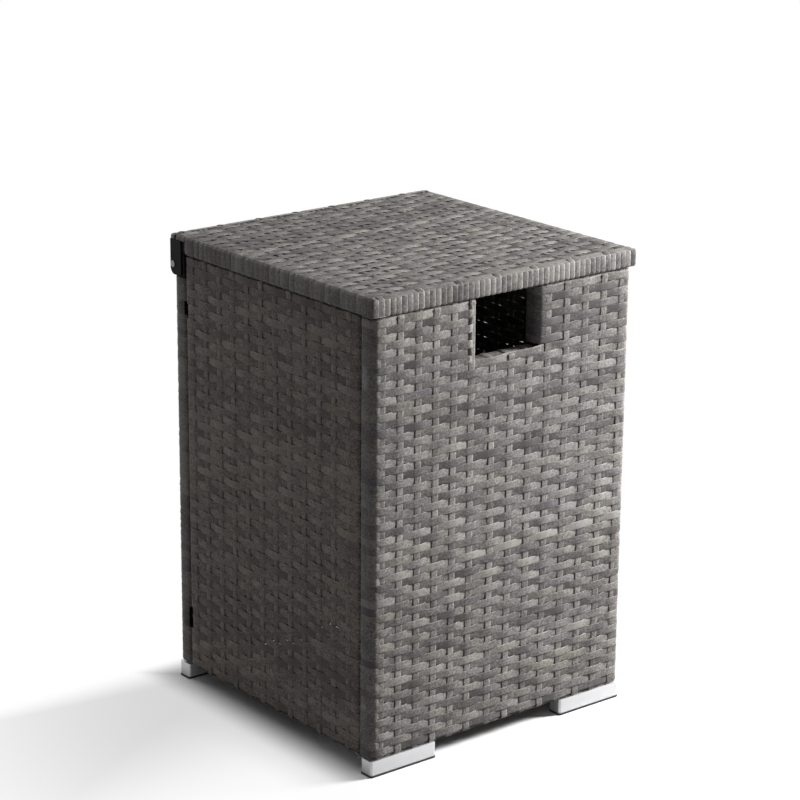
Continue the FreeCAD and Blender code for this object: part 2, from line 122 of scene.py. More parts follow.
class StrandSizes(bpy.types.PropertyGroup):
    """Sizes of the flat resin strand and of how it weaves."""

    weaver_width: length("Weaver width", "Width of the strand that runs across", 9.95 * MM)
    stake_width: length("Stake width", "Width of the strand that runs up", 9.3 * MM)
    leader_width: length("Leader width", "Width of the strand along the lid's edges", 10.4 * MM)
    rib_width: length("Rib width", "Width of the strands round the lid's edges", 8.9 * MM)
    weaver_thickness: length("Weaver thickness", "Thickness of the strand across", 1.2 * MM)
    stake_thickness: length("Stake thickness", "Thickness of the strand that runs up", 0.65 * MM)
    middle_depth: length("Middle depth", "Depth of the weave's middle under its outer face", 1.3 * MM)
    weaver_lift: length("Weaver lift", "How far a weaver rises from the middle", 1.15 * MM)
    stake_lift: length("Stake lift", "How far a stake rises and falls from the middle", 0.05 * MM)
    wrap_lift: length("Wrap lift", "How far a wrap stands out round a tube", 0.6 * MM)
    edge_radius: length("Edge radius", "Outer radius where a strand turns round a tube", 4.0 * MM)
    notch_radius: length("Notch radius", "Outer radius of the wraps beside a bolted joint", 8.0 * MM)
    corner_radius: length("Corner radius", "Outer radius of the body's upright corners", 8.0 * MM)
    jamb_radius: length("Jamb radius", "Outer radius of the wraps beside the window", 8.0 * MM)
    spread: share("Spread", "How much a weaver widens where it dips behind a stake", 0.10)
    side_lift: share("Side lift", "Share of the lift left on the other panels", 0.85)
    side_spread: share("Side spread", "How much a weaver widens in a dip of a side panel", 0.06)
    side_stake: length("Side stake", "Thickness of the stakes of the other panels", 1.0 * MM)
    wander: length("Wander", "How far a strand strays sideways", 0.2 * MM)
    rib_tilt: angle("Rib tilt", "How far the lid's ribs lean on their neighbours", math.radians(6.0))


class WeaveLayout(bpy.types.PropertyGroup):
    """Counts and places of the strands, with places from the middle of a face."""

    window_left: length("Window left", "Left side of the window", -46.0 * MM, -1.0)
    window_right: length("Window right", "Right side of the window", 48.0 * MM)
    window_depth: length("Window depth", "Depth of the window below the body's top", 74.0 * MM)
    row_slope_reach: length("Row slope reach", "Where the rows' left and right heights hold", 130.0 * MM)
    sill_row_left: length("Sill row left", "Drop of the row under the sill, at the left", 80.0 * MM)
    sill_row_right: length("Sill row right", "Drop of the row under the sill, at the right", 76.0 * MM)
    top_row: length("Top row", "Drop of the first row", 6.6 * MM)
    bottom_row: length("Bottom row", "Height of the last row above the body's bottom", 9.0 * MM)
    rows_below_sill: count("Rows below sill", "Full rows of the front", 49)
    rows_left: count("Rows left", "Rows left of the window", 8)
    rows_right: count("Rows right", "Rows right of the window", 7)
    back_rows: count("Back rows", "Rows of the back", 57)
    side_rows: count("Side rows", "Rows of a side panel", 55)
    lid_rows: count("Lid rows", "Rows of the lid", 39)
    lid_stakes: count("Lid stakes", "Stakes of the lid", 14)
    front_ribs: count("Front ribs", "Ribs along the lid's front, one more than at its back", 49)
    rib_group: count("Rib group", "One rib in so many crosses the leader", 7)


class Finishes(bpy.types.PropertyGroup):
    """Colours of the strand and of the metal and plastic parts."""

    strand_dark: colour("Strand dark", "Darkest tone of the strand", (0.094, 0.087, 0.088))
    strand_middle: colour("Strand middle", "Middle tone of the strand", (0.193, 0.186, 0.179))
    strand_light: colour("Strand light", "Lightest tone of the strand", (0.320, 0.311, 0.288))
    steel_black: colour("Black steel", "Powder coat of the frame and hinges", (0.012, 0.012, 0.013))
    aluminium: colour("Aluminium", "Satin aluminium of the feet", (0.70, 0.70, 0.71))
    zinc: colour("Zinc", "Plated steel of the fasteners", (0.62, 0.62, 0.60))
    bright_steel: colour("Bright steel", "Bare steel of the pivot pins", (0.20, 0.195, 0.19))
    black_plastic: colour("Black plastic", "Glide strips under the feet", (0.022, 0.022, 0.023))
    spacer_plastic: colour("Spacer plastic", "Moulded spacers at the corner joints", (0.05, 0.05, 0.052))


class StageSettings(bpy.types.PropertyGroup):
    """Camera, lamps and floor."""

    camera_azimuth: angle("Camera azimuth", "Turn of the view round the table", math.radians(-38.92))
    camera_elevation: angle("Camera elevation", "Height of the view", math.radians(17.16))
    camera_roll: angle("Camera roll", "Roll of the view", math.radians(0.473))
    camera_east: length("Camera east", "Camera's place along X", -1.9861, -10.0, 10.0)
    camera_north: length("Camera north", "Camera's place along Y", -2.4607, -10.0, 10.0)
    camera_height: length("Camera height", "Camera's place along Z", 1.3549, 0.0, 10.0)
    lens: FloatProperty(name="Lens", description="Focal length", default=121.4, subtype="DISTANCE_CAMERA")
    key_power: power("Key power", "Power of the key lamp", 87.0)
    rear_power: power("Rear power", "Power of the rear lamp", 18.0)
    ambient: share("Ambient", "Strength of the light from all round", 0.13)
    floor_white: share("Floor white", "Share of plain white in the floor that the camera sees", 0.60)
    floor_bounce: share("Floor bounce", "How much light the floor throws back on the table", 0.25)


GROUPS = {
    "cover_strands": StrandSizes,
    "cover_layout": WeaveLayout,
    "cover_finishes": Finishes,
    "cover_stage": StageSettings,
}


def settings():
    """The groups of settings, kept with the scene."""
    return [getattr(bpy.context.scene, group) for group in GROUPS]


def deselect_all():
    """Leaves object mode and clears the selection."""
    if bpy.context.object and bpy.context.object.mode != "OBJECT":
        bpy.ops.object.mode_set(mode="OBJECT")
    bpy.ops.object.select_all(action="DESELECT")


class Wire:
    """A shader socket that can stand in a Python expression."""

    def __init__(self, finish, socket):
        self.finish = finish
        self.socket = socket

    def maths(self, operation, *values, clamp=False):
        """A Math node on values or wires."""
        setup = {"operation": operation, "use_clamp": clamp}
        return self.finish.node("Math", setup, dict(enumerate(values)))

    def __add__(self, other):
        return self.maths("ADD", self, other)

    def __sub__(self, other):
        return self.maths("SUBTRACT", self, other)

    def __rsub__(self, other):
        return self.maths("SUBTRACT", other, self)

    def __mul__(self, other):
        return self.maths("MULTIPLY", self, other)

    __radd__ = __add__
    __rmul__ = __mul__

    def most(self, other):
        return self.maths("MAXIMUM", self, other)

    def size(self):
        return self.maths("ABSOLUTE", self)

    def clamped(self):
        return self.maths("ADD", self, 0.0, clamp=True)

    def beside(self, output):
        """Another output of the same node."""
        return Wire(self.finish, self.socket.node.outputs[output])


class Finish:
    """A material or world whose nodes are added one by one."""

    def __init__(self, name, block=None):
        self.block = block or bpy.data.materials.new(name)
        self.block.use_nodes = True
        self.tree = self.block.node_tree

    def fill(self, socket, value):
        """Links a wire to a socket, or sets the socket's value."""
        if isinstance(value, Wire):
            self.tree.links.new(value.socket, socket)
        else:
            socket.default_value = value

    def node(self, kind, setup=None, inputs=None, output=0):
        """Adds a node, sets it up, fills its sockets and returns one of its outputs."""
        made = self.tree.nodes.new("ShaderNode" + kind)
        for key, value in (setup or {}).items():
            if key == "stops":
                set_stops(made.color_ramp, value)
            else:
                setattr(made, key, value)
        for key, value in (inputs or {}).items():
            self.fill(made.inputs[key], value)
        return Wire(self, made.outputs[output])

    def shader(self, **values):
        """Fills the sockets of the material's own shader."""
        main = self.tree.nodes["Principled BSDF"]
        for key, value in values.items():
            self.fill(main.inputs[key.replace("_", " ")], value)

    def noise(self, place, detail, roughness=0.5):
        """A noise pattern from 0 to 1 at a place."""
        inputs = {"Vector": place, "Scale": 1.0, "Detail": detail, "Roughness": roughness}
        return self.node("TexNoise", None, inputs)

    def grain(self, repeats, detail, roughness=0.5):
        """A noise pattern on the piece, with so many repeats for each metre along its axes."""
        place = self.node("TexCoord", None, None, "Object")
        scaled = self.node("Mapping", None, {"Vector": place, "Scale": repeats})
        return self.noise(scaled, detail, roughness)

    def attribute(self, name):
        """A number stored on the piece."""
        return self.node("Attribute", {"attribute_name": name}, None, "Fac")

    def blend(self, share_of_second, first, second, kind="MIX"):
        """A mix of two colours."""
        setup = {"data_type": "RGBA", "blend_type": kind}
        return self.node("Mix", setup, {"Factor": share_of_second, 6: first, 7: second}, 2)

    def ramp(self, value, low, high):
        """A smooth rise from 0 to 1 between two values."""
        setup = {"interpolation_type": "SMOOTHSTEP"}
        return self.node("MapRange", setup, {"Value": value, "From Min": low, "From Max": high})

    def bump(self, height, distance, strength):
        """A bump from a height between 0 and 1."""
        inputs = {"Height": height, "Distance": distance, "Strength": strength}
        return self.node("Bump", None, inputs)


def set_stops(ramp, stops):
    """Sets the stops of a colour ramp."""
    while len(ramp.elements) < len(stops):
        ramp.elements.new(0.5)
    for element, (position, tone) in zip(ramp.elements, stops):
        element.position = position
        element.color = opaque(tone)


def opaque(tone):
    """A colour with full cover."""
    return (*tone, 1.0)


# Patterns of the strand: repeats for each metre along and across it, shift between
# strands, detail and roughness
STRAND_PATTERNS = {
    "slow": (24.0, 20.0, 97.0, 2.0, 0.5),
    "streak": (22.0, 1500.0, 61.0, 3.0, 0.6),
    "speck": (340.0, 380.0, 31.0, 3.0, 0.7),
    "warmth": (5.0, 0.0, 43.0, 1.0, 0.5),
    "groove": (30.0, 2600.0, 17.0, 2.0, 0.6),
}
# Weights of the patterns in the strand's tone
PATCH_WEIGHT = 1.3
DARK_PATCH_WEIGHT = 1.6
STREAK_WEIGHT = 0.5
# Where the warm tint starts, how fast it grows, and the tints at its cold and warm ends
WARMTH_START = 0.35
WARMTH_GROWTH = 2.2
COLD_TINT = (1.0, 0.975, 1.01)
WARM_TINT = (1.03, 1.005, 0.92)
# Roughness of the strand, and depth and strength of its grain
STRAND_ROUGHNESS = 0.50
GROOVE_ROUGHNESS = 0.16
GRAIN_DEPTH = 0.12 * MM
GRAIN_STRENGTH = 0.6


def strand_finish(name, tones, tint, mottle):
    """Matt resin strand: tone from strand to strand and along each one, with fine grooves."""
    finish = Finish(name)
    run = finish.node("SeparateXYZ", None, {0: finish.node("UVMap", {"uv_map": "UVMap"})})
    across = run.beside(1)
    tone = finish.attribute("strand_tone")
    seed = finish.attribute("strand_seed")
    pattern = {}
    for kind, (along, sideways, shift, detail, roughness) in STRAND_PATTERNS.items():
        place = finish.node("CombineXYZ", None, {0: run * along, 1: across * sideways, 2: seed * shift})
        pattern[kind] = finish.noise(place, detail, roughness)
    patch = pattern["slow"] - 0.5
    dark_patch = patch.maths("MINIMUM", patch, 0.0)
    level = tone + patch * PATCH_WEIGHT + dark_patch * DARK_PATCH_WEIGHT
    # The mottle is coarser on the left panel's copy of the strand, a painted grain of shade
    level = level + (pattern["streak"] - 0.5) * STREAK_WEIGHT + (pattern["speck"] - 0.5) * mottle
    stops = [(0.0, tones.strand_dark), (0.5, tones.strand_middle), (1.0, tones.strand_light)]
    grey = finish.node("ValToRGB", {"stops": stops}, {0: level.clamped()})
    warmth = (pattern["warmth"] - WARMTH_START) * WARMTH_GROWTH
    warm = finish.blend(warmth, opaque(COLD_TINT), opaque(WARM_TINT))
    # The tint is plain on the strand and warm on the left panel's copy, a painted shade
    tinted = finish.blend(1.0, finish.blend(1.0, grey, opaque(tint), "MULTIPLY"), warm, "MULTIPLY")
    height = pattern["groove"] * 0.8 + pattern["speck"] * 0.4
    finish.shader(Base_Color=tinted, Roughness=STRAND_ROUGHNESS + pattern["groove"] * GROOVE_ROUGHNESS,
                  Normal=finish.bump(height, GRAIN_DEPTH, GRAIN_STRENGTH), IOR=1.45,
                  Specular_IOR_Level=0.25)


@dataclass
class Coat:
    """A coat's fine grain, and how and where it pales and dulls with wear."""

    grain: tuple
    depth: float
    strength: float
    wear: tuple
    wear_start: float
    wear_growth: float
    paling: float
    dust: float
    dulling: float
    specular: float


POWDER = Coat((1500.0,) * 3, 0.05 * MM, 0.4, (60.0,) * 3, 0.45, 0.9, 1.8, 0.004, 0.2, 0.05)
MOULDED = Coat((1800.0,) * 3, 0.06 * MM, 0.5, (80.0, 80.0, 300.0), 0.4, 0.8, 1.7, 0.01, 0.15, 0.5)


def coated_finish(name, tone, coat, roughness):
    """A powder coat or a moulded face, with a fine grain and pale worn places."""
    finish = Finish(name)
    grain = finish.grain(coat.grain, 2.0)
    wear = finish.grain(coat.wear, 4.0, 0.6)
    worn = tuple(min(1.0, c * coat.paling + coat.dust) for c in tone)
    shade = finish.blend((wear - coat.wear_start) * coat.wear_growth, opaque(tone), opaque(worn))
    finish.shader(Base_Color=shade, Roughness=roughness + wear * coat.dulling,
                  Normal=finish.bump(grain, coat.depth, coat.strength),
                  Specular_IOR_Level=coat.specular)


# Bare metal: tone of its dull places, depth and strength of its streaks, and their roughness
DULL_SHARE = 0.86
STREAK_DEPTH = 0.02 * MM
STREAK_STRENGTH = 0.5
STREAK_ROUGHNESS = 0.14


def metal_finish(name, tone, repeats, roughness, metallic=1.0):
    """Bare or satin metal with fine streaks and faint clouds."""
    finish = Finish(name)
    streak = finish.grain(repeats, 4.0, 0.65)
    cloud = finish.grain((45.0, 45.0, 45.0), 3.0)
    dull = tuple(c * DULL_SHARE for c in tone)
    shade = finish.blend(streak * 0.6 + cloud * 0.4, opaque(dull), opaque(tone))
    finish.shader(Base_Color=shade, Metallic=metallic,
                  Roughness=roughness + (streak - 0.5) * STREAK_ROUGHNESS,
                  Normal=finish.bump(streak, STREAK_DEPTH, STREAK_STRENGTH))


def dress_node(node, finish_name):
    """Gives a CAD node its material."""
    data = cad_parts[node].data
    data.materials.clear()
    data.materials.append(bpy.data.materials[finish_name])


# A strand's section is a ten-sided prism whose shoulders are moved. Turns of the outer and
# inner shoulder in degrees, and the shares of the half width and half thickness they move to
SECTION_SIDES = 10
SHOULDER_TURNS = (36, 72)
SECTIONS = {
    "flat": ((0.94, 0.70), (0.74, 0.97)),
    "round": ((0.88, 0.58), (0.52, 0.93)),
}


class Blank:
    """A straight strand of unit width and thickness, cut into rings, read as arrays."""

    made = {}

    def __init__(self, rings, section):
        deselect_all()
        bpy.ops.mesh.primitive_cylinder_add(vertices=SECTION_SIDES, radius=1.0, depth=1.0,
                                            end_fill_type="NGON", location=(0, 0, 0.5),
                                            rotation=(0, 0, math.radians(90)))
        blank = bpy.context.object
        bpy.ops.object.transform_apply(location=True, rotation=True)
        bpy.ops.object.mode_set(mode="EDIT")
        mesh = bmesh.from_edit_mesh(blank.data)
        for turn, (x, y) in zip(SHOULDER_TURNS, SECTIONS[section]):
            old_x = math.cos(math.radians(turn))
            old_y = math.sin(math.radians(turn))
            pick(mesh, "verts", lambda v: abs(abs(v.co.x) - old_x) < 0.01 and abs(v.co.y) > 0.1)
            bpy.ops.transform.resize(value=(x / old_x, y / old_y, 1.0))
        pick(mesh, "edges", lambda e: abs(e.verts[0].co.z - e.verts[1].co.z) > 0.5)
        bpy.ops.mesh.subdivide(number_cuts=rings - 2)
        bpy.ops.object.mode_set(mode="OBJECT")
        data = blank.data
        places = np.array([v.co for v in data.vertices])
        self.across = places[:, 0]
        self.out = places[:, 1]
        self.ring = np.rint(places[:, 2] * (rings - 1)).astype(int)
        self.starts = np.array([p.loop_start for p in data.polygons])
        self.corners = np.array([loop.vertex_index for loop in data.loops])
        self.smooth = np.array([p.loop_total == 4 for p in data.polygons])
        bpy.data.objects.remove(blank)
        bpy.data.meshes.remove(data)

    @classmethod
    def of(cls, strand):
        """The blank with a strand's rings and section, made once."""
        key = (len(strand.run), strand.section)
        if key not in cls.made:
            cls.made[key] = cls(*key)
        return cls.made[key]


def pick(mesh, kind, test):
    """Selects only the verts, edges or faces that pass a test, in edit mode."""
    for group in (mesh.verts, mesh.edges, mesh.faces):
        for element in group:
            element.select = False
    chosen = [element for element in getattr(mesh, kind) if test(element)]
    bpy.ops.mesh.select_mode(type={"verts": "VERT", "edges": "EDGE", "faces": "FACE"}[kind])
    for element in chosen:
        element.select_set(True)
    mesh.select_flush_mode()


def unit(vector):
    """A vector of length one."""
    return vector / np.linalg.norm(vector)


def rotated(vector, turn):
    """A flat vector turned by an angle."""
    c = math.cos(turn)
    s = math.sin(turn)
    return np.array((c * vector[0] - s * vector[1], s * vector[0] + c * vector[1]))


class Track:
    """A flat path of straight runs and round corners, with the outward side on its right."""

    STEPS = 8

    def __init__(self, corners, radii):
        corners = [np.array(corner, float) for corner in corners]
        self.points = [corners[0]]
        self.headings = [unit(corners[1] - corners[0])]
        arcs = []
        for i, radius in enumerate(radii, 1):
            first = len(self.points)
            self.add_arc(*corners[i - 1:i + 2], radius)
            arcs.append((first, len(self.points) - 1))
        self.places = np.array(self.points + [corners[-1]])
        headings = np.array(self.headings + [self.headings[-1]])
        self.outward = np.stack([headings[:, 1], -headings[:, 0]], axis=1)
        steps = np.linalg.norm(np.diff(self.places, axis=0), axis=1)
        self.run = np.concatenate([[0.0], np.cumsum(steps)])
        self.arcs = [(self.run[first], self.run[last]) for first, last in arcs]

    def add_arc(self, previous, corner, following, radius):
        """Adds the points of one round corner."""
        before = unit(corner - previous)
        after = unit(following - corner)
        turn = math.atan2(before[0] * after[1] - before[1] * after[0], before @ after)
        start = corner - before * radius * math.tan(abs(turn) / 2)
        left = np.array((-before[1], before[0])) * math.copysign(1.0, turn)
        centre = start + left * radius
        for step in range(self.STEPS + 1):
            swing = turn * step / self.STEPS
            self.points.append(centre + rotated(-left, swing) * radius)
            self.headings.append(rotated(before, swing))

    def at(self, run):
        """Places and outward directions at distances along the path."""
        place = np.stack([np.interp(run, self.run, self.places[:, i]) for i in range(2)], axis=1)
        out = np.stack([np.interp(run, self.run, self.outward[:, i]) for i in range(2)], axis=1)
        return place, out / np.linalg.norm(out, axis=1)[:, None]


@dataclass
class End:
    """How a strand ends: round the tube and back inside, bent over the edge, or tucked flat."""

    kind: str
    place: float
    depth: float = 0.0
    band: float = 0.0
    radius: float = 0.0
    reach: float = 0.0

    def corners(self, middle, sense):
        """Corners from the strand's end up to the face, as (along, depth)."""
        edge = self.place + sense * middle
        if self.kind == "wrap":
            inside = self.depth - middle
            return [(self.place + sense * self.band, inside), (edge, inside), (edge, middle)]
        if self.kind == "bend":
            return [(edge, self.reach), (edge, middle)]
        return [(self.place, middle)]

    def radii(self, middle, edge_radius):
        """Radius of each round corner, from the strand's end up to the face."""
        inner = edge_radius - middle
        outer = max(self.radius, edge_radius) - middle
        return {"wrap": [inner, outer], "bend": [outer], "tuck": []}[self.kind]


# Shortest way from a face's end to the nearest ring on the face
RING_GAP = 0.5 * MM
# Rings on each round corner of a wrap
WRAP_RINGS = 4


def wrap_runs(start, arcs, end):
    """Ring places along the wrapped end of a strand, close together round the corners."""
    runs = [start, end]
    for low, high in arcs:
        runs += list(np.linspace(low, high, WRAP_RINGS))
    return np.array(sorted(set(round(run, 7) for run in runs)))


class Strand:
    """One strand: where its rings lie, how far they lift, how wide they are."""

    def __init__(self, sizes, ends, places, lifts, wrap_lift, section="flat"):
        middle = sizes.middle_depth
        start, end = ends
        head_radii = start.radii(middle, sizes.edge_radius)
        tail_radii = end.radii(middle, sizes.edge_radius)[::-1]
        corners = start.corners(middle, 1.0) + end.corners(middle, -1.0)[::-1]
        track = Track(corners, head_radii + tail_radii)
        head = track.arcs[:len(head_radii)]
        tail = track.arcs[len(head_radii):]
        total = track.run[-1]
        face_start = head[-1][1] if head else 0.0
        face_end = tail[0][0] if tail else total
        first_place = track.at(np.array([face_start]))[0][0, 0]
        face_run = face_start + (np.array(places) - first_place)
        keep = (face_run > face_start + RING_GAP) & (face_run < face_end - RING_GAP)
        face_lift = np.array(lifts)[keep]
        head_run = wrap_runs(0.0, head, face_start) if head else np.array([0.0])
        tail_run = wrap_runs(face_end, tail, total) if tail else np.array([total])
        head_lift = np.full(len(head_run), wrap_lift if head else face_lift[0])
        tail_lift = np.full(len(tail_run), wrap_lift if tail else face_lift[-1])
        self.run = np.concatenate([head_run, face_run[keep], tail_run])
        self.lift = np.concatenate([head_lift, face_lift, tail_lift])
        self.place, self.outward = track.at(self.run)
        self.along = self.place[:, 0]
        self.width = np.ones(len(self.run))
        self.twist = np.zeros(len(self.run))
        self.cross = np.zeros(len(self.run))
        self.section = section

    def colour(self, tone, dice):
        """Sets the strand's tone and the shift of its patterns."""
        self.tone = tone
        self.seed = dice.uniform()
        return self


class Basis:
    """Directions of a face: along, into the depth and across, from an origin."""

    def __init__(self, origin, along, inward, across):
        self.origin = np.array(origin, float)
        self.along = np.array(along, float)
        self.inward = np.array(inward, float)
        self.across = np.array(across, float)

    def turned(self, turn, shift):
        """The same face turned about Z and then moved."""
        matrix = np.array(Matrix.Rotation(turn, 3, "Z"))
        origin = matrix @ self.origin + np.array(shift, float)
        return Basis(origin, matrix @ self.along, matrix @ self.inward, matrix @ self.across)


def lay_strand(strand, basis, width, thickness):
    """Vertex places of a strand laid along its track on a face."""
    blank = Blank.of(strand)
    a = strand.place + strand.outward * strand.lift[:, None]
    centre = (basis.origin + a[:, :1] * basis.along + a[:, 1:] * basis.inward
              + strand.cross[:, None] * basis.across)
    out = strand.outward[:, :1] * basis.along + strand.outward[:, 1:] * basis.inward
    side = np.repeat(basis.across[None, :], len(centre), axis=0)
    heading = np.gradient(centre, axis=0)
    sense = np.sign(np.sum(np.cross(side, out) * heading))
    side = side * sense
    c = np.cos(strand.twist)[:, None]
    s = np.sin(strand.twist)[:, None] * sense
    leaned_side = side * c + out * s
    leaned_out = out * c - side * s
    half_width = strand.width * width / 2
    ring = blank.ring
    return (centre[ring]
            + leaned_side[ring] * (blank.across * half_width[ring])[:, None]
            + leaned_out[ring] * (blank.out * thickness / 2)[:, None])


def woven_piece(name, laid, body, stands_for, finish_name="resin_strand"):
    """Joins laid strands in one mesh with run and width coordinates, tones and seeds."""
    places, corners, starts, smooth, tones, seeds, uv = [], [], [], [], [], [], []
    vertex_count = 0
    corner_count = 0
    for strand, basis, width, thickness in laid:
        blank = Blank.of(strand)
        places.append(lay_strand(strand, basis, width, thickness))
        corners.append(blank.corners + vertex_count)
        starts.append(blank.starts + corner_count)
        smooth.append(blank.smooth)
        tones.append(np.full(len(blank.ring), strand.tone))
        seeds.append(np.full(len(blank.ring), strand.seed))
        flat = np.stack([strand.run[blank.ring], blank.across * width / 2], axis=1)
        uv.append(flat[blank.corners])
        vertex_count += len(blank.ring)
        corner_count += len(blank.corners)
    mesh = bpy.data.meshes.new(name)
    mesh.vertices.add(vertex_count)
    mesh.vertices.foreach_set("co", np.concatenate(places).ravel())
    mesh.loops.add(corner_count)
    mesh.loops.foreach_set("vertex_index", np.concatenate(corners))
    starts = np.concatenate(starts)
    mesh.polygons.add(len(starts))
    mesh.polygons.foreach_set("loop_start", starts)
    mesh.polygons.foreach_set("use_smooth", np.concatenate(smooth))
    mesh.update(calc_edges=True)
    mesh.uv_layers.new(name="UVMap").data.foreach_set("uv", np.concatenate(uv).ravel())
    for attribute, values in (("strand_tone", tones), ("strand_seed", seeds)):
        layer = mesh.attributes.new(attribute, "FLOAT", "POINT")
        layer.data.foreach_set("value", np.concatenate(values).astype(np.float32))
    mesh.validate()
    mesh.materials.append(bpy.data.materials[finish_name])
    piece = bpy.data.objects.new(name, mesh)
    bpy.context.scene.collection.objects.link(piece)
    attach(piece, body)
    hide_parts(*stands_for)


# Shares of the way from one stake to the next where a weaver has rings, and of its fall there
FALL_PLACES = np.array((0.15, 0.20, 0.24, 0.76, 0.80, 0.85))
FALL_SHARES = np.array((0.0, 0.0385, 0.1, 0.9, 0.9615, 1.0))
# Depth of a weaver's dip for each unit of its lift
DIP_SHARE = 0.85


def arched(crossings, over, lift, spread):
    """Rings of a weaver over its stakes: a hump on each stake and a straight fall to the next."""
    places = [[crossings[0]]]
    falls = [[0.0 if over[0] else 1.0]]
    for i in range(len(crossings) - 1):
        gap = crossings[i + 1] - crossings[i]
        places.append(crossings[i] + gap * FALL_PLACES)
        falls.append(FALL_SHARES if over[i] else 1.0 - FALL_SHARES)
    places.append([crossings[-1]])
    falls.append([0.0 if over[-1] else 1.0])
    falls = np.concatenate(falls)
    lifts = lift * (1.0 - (1.0 + DIP_SHARE) * falls)
    return np.concatenate(places), lifts, 1.0 + spread * np.clip(2.0 * falls - 1.0, 0.0, 1.0)


@dataclass
class Row:
    """One weaver's row on a face: its ends, its height at two places, its parity and tone."""

    low_end: End
    high_end: End
    heights: tuple
    reach: float
    parity: int
    tone: float

    def height(self, place):
        """Height of the row's middle at a place along the face."""
        part = (np.asarray(place) / self.reach + 1.0) / 2.0
        return self.heights[0] + (self.heights[1] - self.heights[0]) * np.clip(part, 0.0, 1.0)

    def spans(self, place):
        """True where the row passes a place along the face."""
        return self.low_end.place < place < self.high_end.place

    def over(self, stake_number):
        """True where the row passes outside a stake."""
        return (self.parity + stake_number) % 2 == 1


@dataclass
class Stake:
    """One stake: its number, its place along the face, its two ends and its tone."""

    number: int
    place: float
    low_end: End
    high_end: End
    tone: float

    def spans(self, height):
        """True where the stake passes a height."""
        return self.low_end.place < height < self.high_end.place


def waves(along, first, second, starts):
    """Two waves along a strand, each as (waves in 2 pi metres, share), from two starting turns."""
    return (np.sin(along * first[0] + starts[0]) * first[1]
            + np.sin(along * second[0] + starts[1]) * second[1])


# How strands stray and lean: two waves as (pace, share), and the pace and size of the lean
ROW_STRAY = ((31.0, 0.6), (83.0, 0.4))
ROW_LEAN = (47.0, 0.05)
ROW_LEAN_SCATTER = 0.02
STAKE_STRAY = ((17.0, 1.0), (61.0, 0.6))
STAKE_LEAN = (29.0, 0.06)
# How much further out a stake's wrap lies than a row's
STAKE_WRAP_RISE = 0.3 * MM


def row_strand(sizes, row, stakes, dice, lift, spread):
    """The weaver of one row."""
    middle_height = row.height(0.0)
    crossed = [stake for stake in stakes if row.spans(stake.place) and stake.spans(middle_height)]
    crossings = [stake.place for stake in crossed]
    over = [row.over(stake.number) for stake in crossed]
    places, lifts, widths = arched(crossings, over, lift, spread)
    strand = Strand(sizes, (row.low_end, row.high_end), places, lifts, sizes.wrap_lift)
    along = np.clip(strand.along, row.low_end.place, row.high_end.place)
    starts = dice.uniform(0, 2 * math.pi, 2)
    strand.cross = row.height(along) + sizes.wander * waves(along, *ROW_STRAY, starts)
    strand.width = np.interp(along, places, widths)
    pace, size = ROW_LEAN
    strand.twist = size * np.sin(along * pace + starts[1]) + dice.normal(0, ROW_LEAN_SCATTER)
    return strand.colour(row.tone, dice)


def stake_strand(sizes, stake, rows, dice):
    """The strand of one stake, pressed in and out by the rows that it meets."""
    met = sorted((float(row.height(stake.place)), row) for row in rows if row.spans(stake.place))
    met = [(height, row) for height, row in met if stake.spans(height)]
    heights = np.array([height for height, row in met])
    presses = np.array([-1.0 if row.over(stake.number) else 1.0 for height, row in met])
    places = np.sort(np.concatenate([heights, (heights[:-1] + heights[1:]) / 2]))
    lifts = np.interp(places, heights, presses) * sizes.stake_lift
    ends = (stake.low_end, stake.high_end)
    strand = Strand(sizes, ends, places, lifts, sizes.wrap_lift + STAKE_WRAP_RISE, "round")
    starts = dice.uniform(0, 2 * math.pi, 2)
    strand.cross = stake.place + sizes.wander * waves(strand.along, *STAKE_STRAY, starts)
    pace, size = STAKE_LEAN
    strand.twist = size * np.sin(strand.along * pace + starts[1])
    return strand.colour(stake.tone, dice)


def cross_strands(sizes, rows, stakes, faces, lift, spread, stake_thickness, dice):
    """Lays the rows of a face and then its stakes."""
    row_face, stake_face = faces
    laid_rows = []
    for row in rows:
        strand = row_strand(sizes, row, stakes, dice, lift, spread)
        laid_rows.append((strand, row_face, sizes.weaver_width, sizes.weaver_thickness))
    laid_stakes = []
    for stake in stakes:
        strand = stake_strand(sizes, stake, rows, dice)
        laid_stakes.append((strand, stake_face, sizes.stake_width, stake_thickness))
    return laid_rows, laid_stakes


# Tones of strands from one reel: the span of the first, the middle they return to, how
# fast, how far they drift and jump, and their limits
FIRST_TONES = (0.35, 0.6)
MIDDLE_TONE = 0.48
TONE_RETURN = 0.25
TONE_DRIFT = 0.11
TONE_JUMP = 0.17
TONE_LIMITS = (0.05, 0.95)


def drifting_tones(dice, number):
    """Tones that drift from strand to strand, as strands from one reel do."""
    tones = []
    level = dice.uniform(*FIRST_TONES)
    for _ in range(number):
        level += dice.normal(0, TONE_DRIFT) - (level - MIDDLE_TONE) * TONE_RETURN
        tones.append(float(np.clip(level + dice.normal(0, TONE_JUMP), *TONE_LIMITS)))
    return tones


def stake_tone(dice, low, high):
    """Tone of one stake, near the middle."""
    return float(np.clip(dice.normal(0.52, 0.10), low, high))


def even(first, last, number):
    """Evenly spaced places from the first to the last."""
    return [first + (last - first) * i / (number - 1) for i in range(number)]


# Depths of the lengthwise strands on a rail and on its inner lip, how far they lie sunk,
# how far they stop short of the rail's ends, their rings, sway and tones
RAIL_DEPTHS = (7.0 * MM, 17.0 * MM)
LIP_DEPTHS = (7.0 * MM, 16.5 * MM)
RAIL_LIFT = -0.35 * MM
RAIL_INSET = 3.0 * MM
RAIL_RING_INSET = 6.0 * MM
RAIL_RINGS = 20
RAIL_SWAY = 0.3 * MM
RAIL_SWAY_PACE = 40.0
RAIL_TONES = (0.3, 0.6)


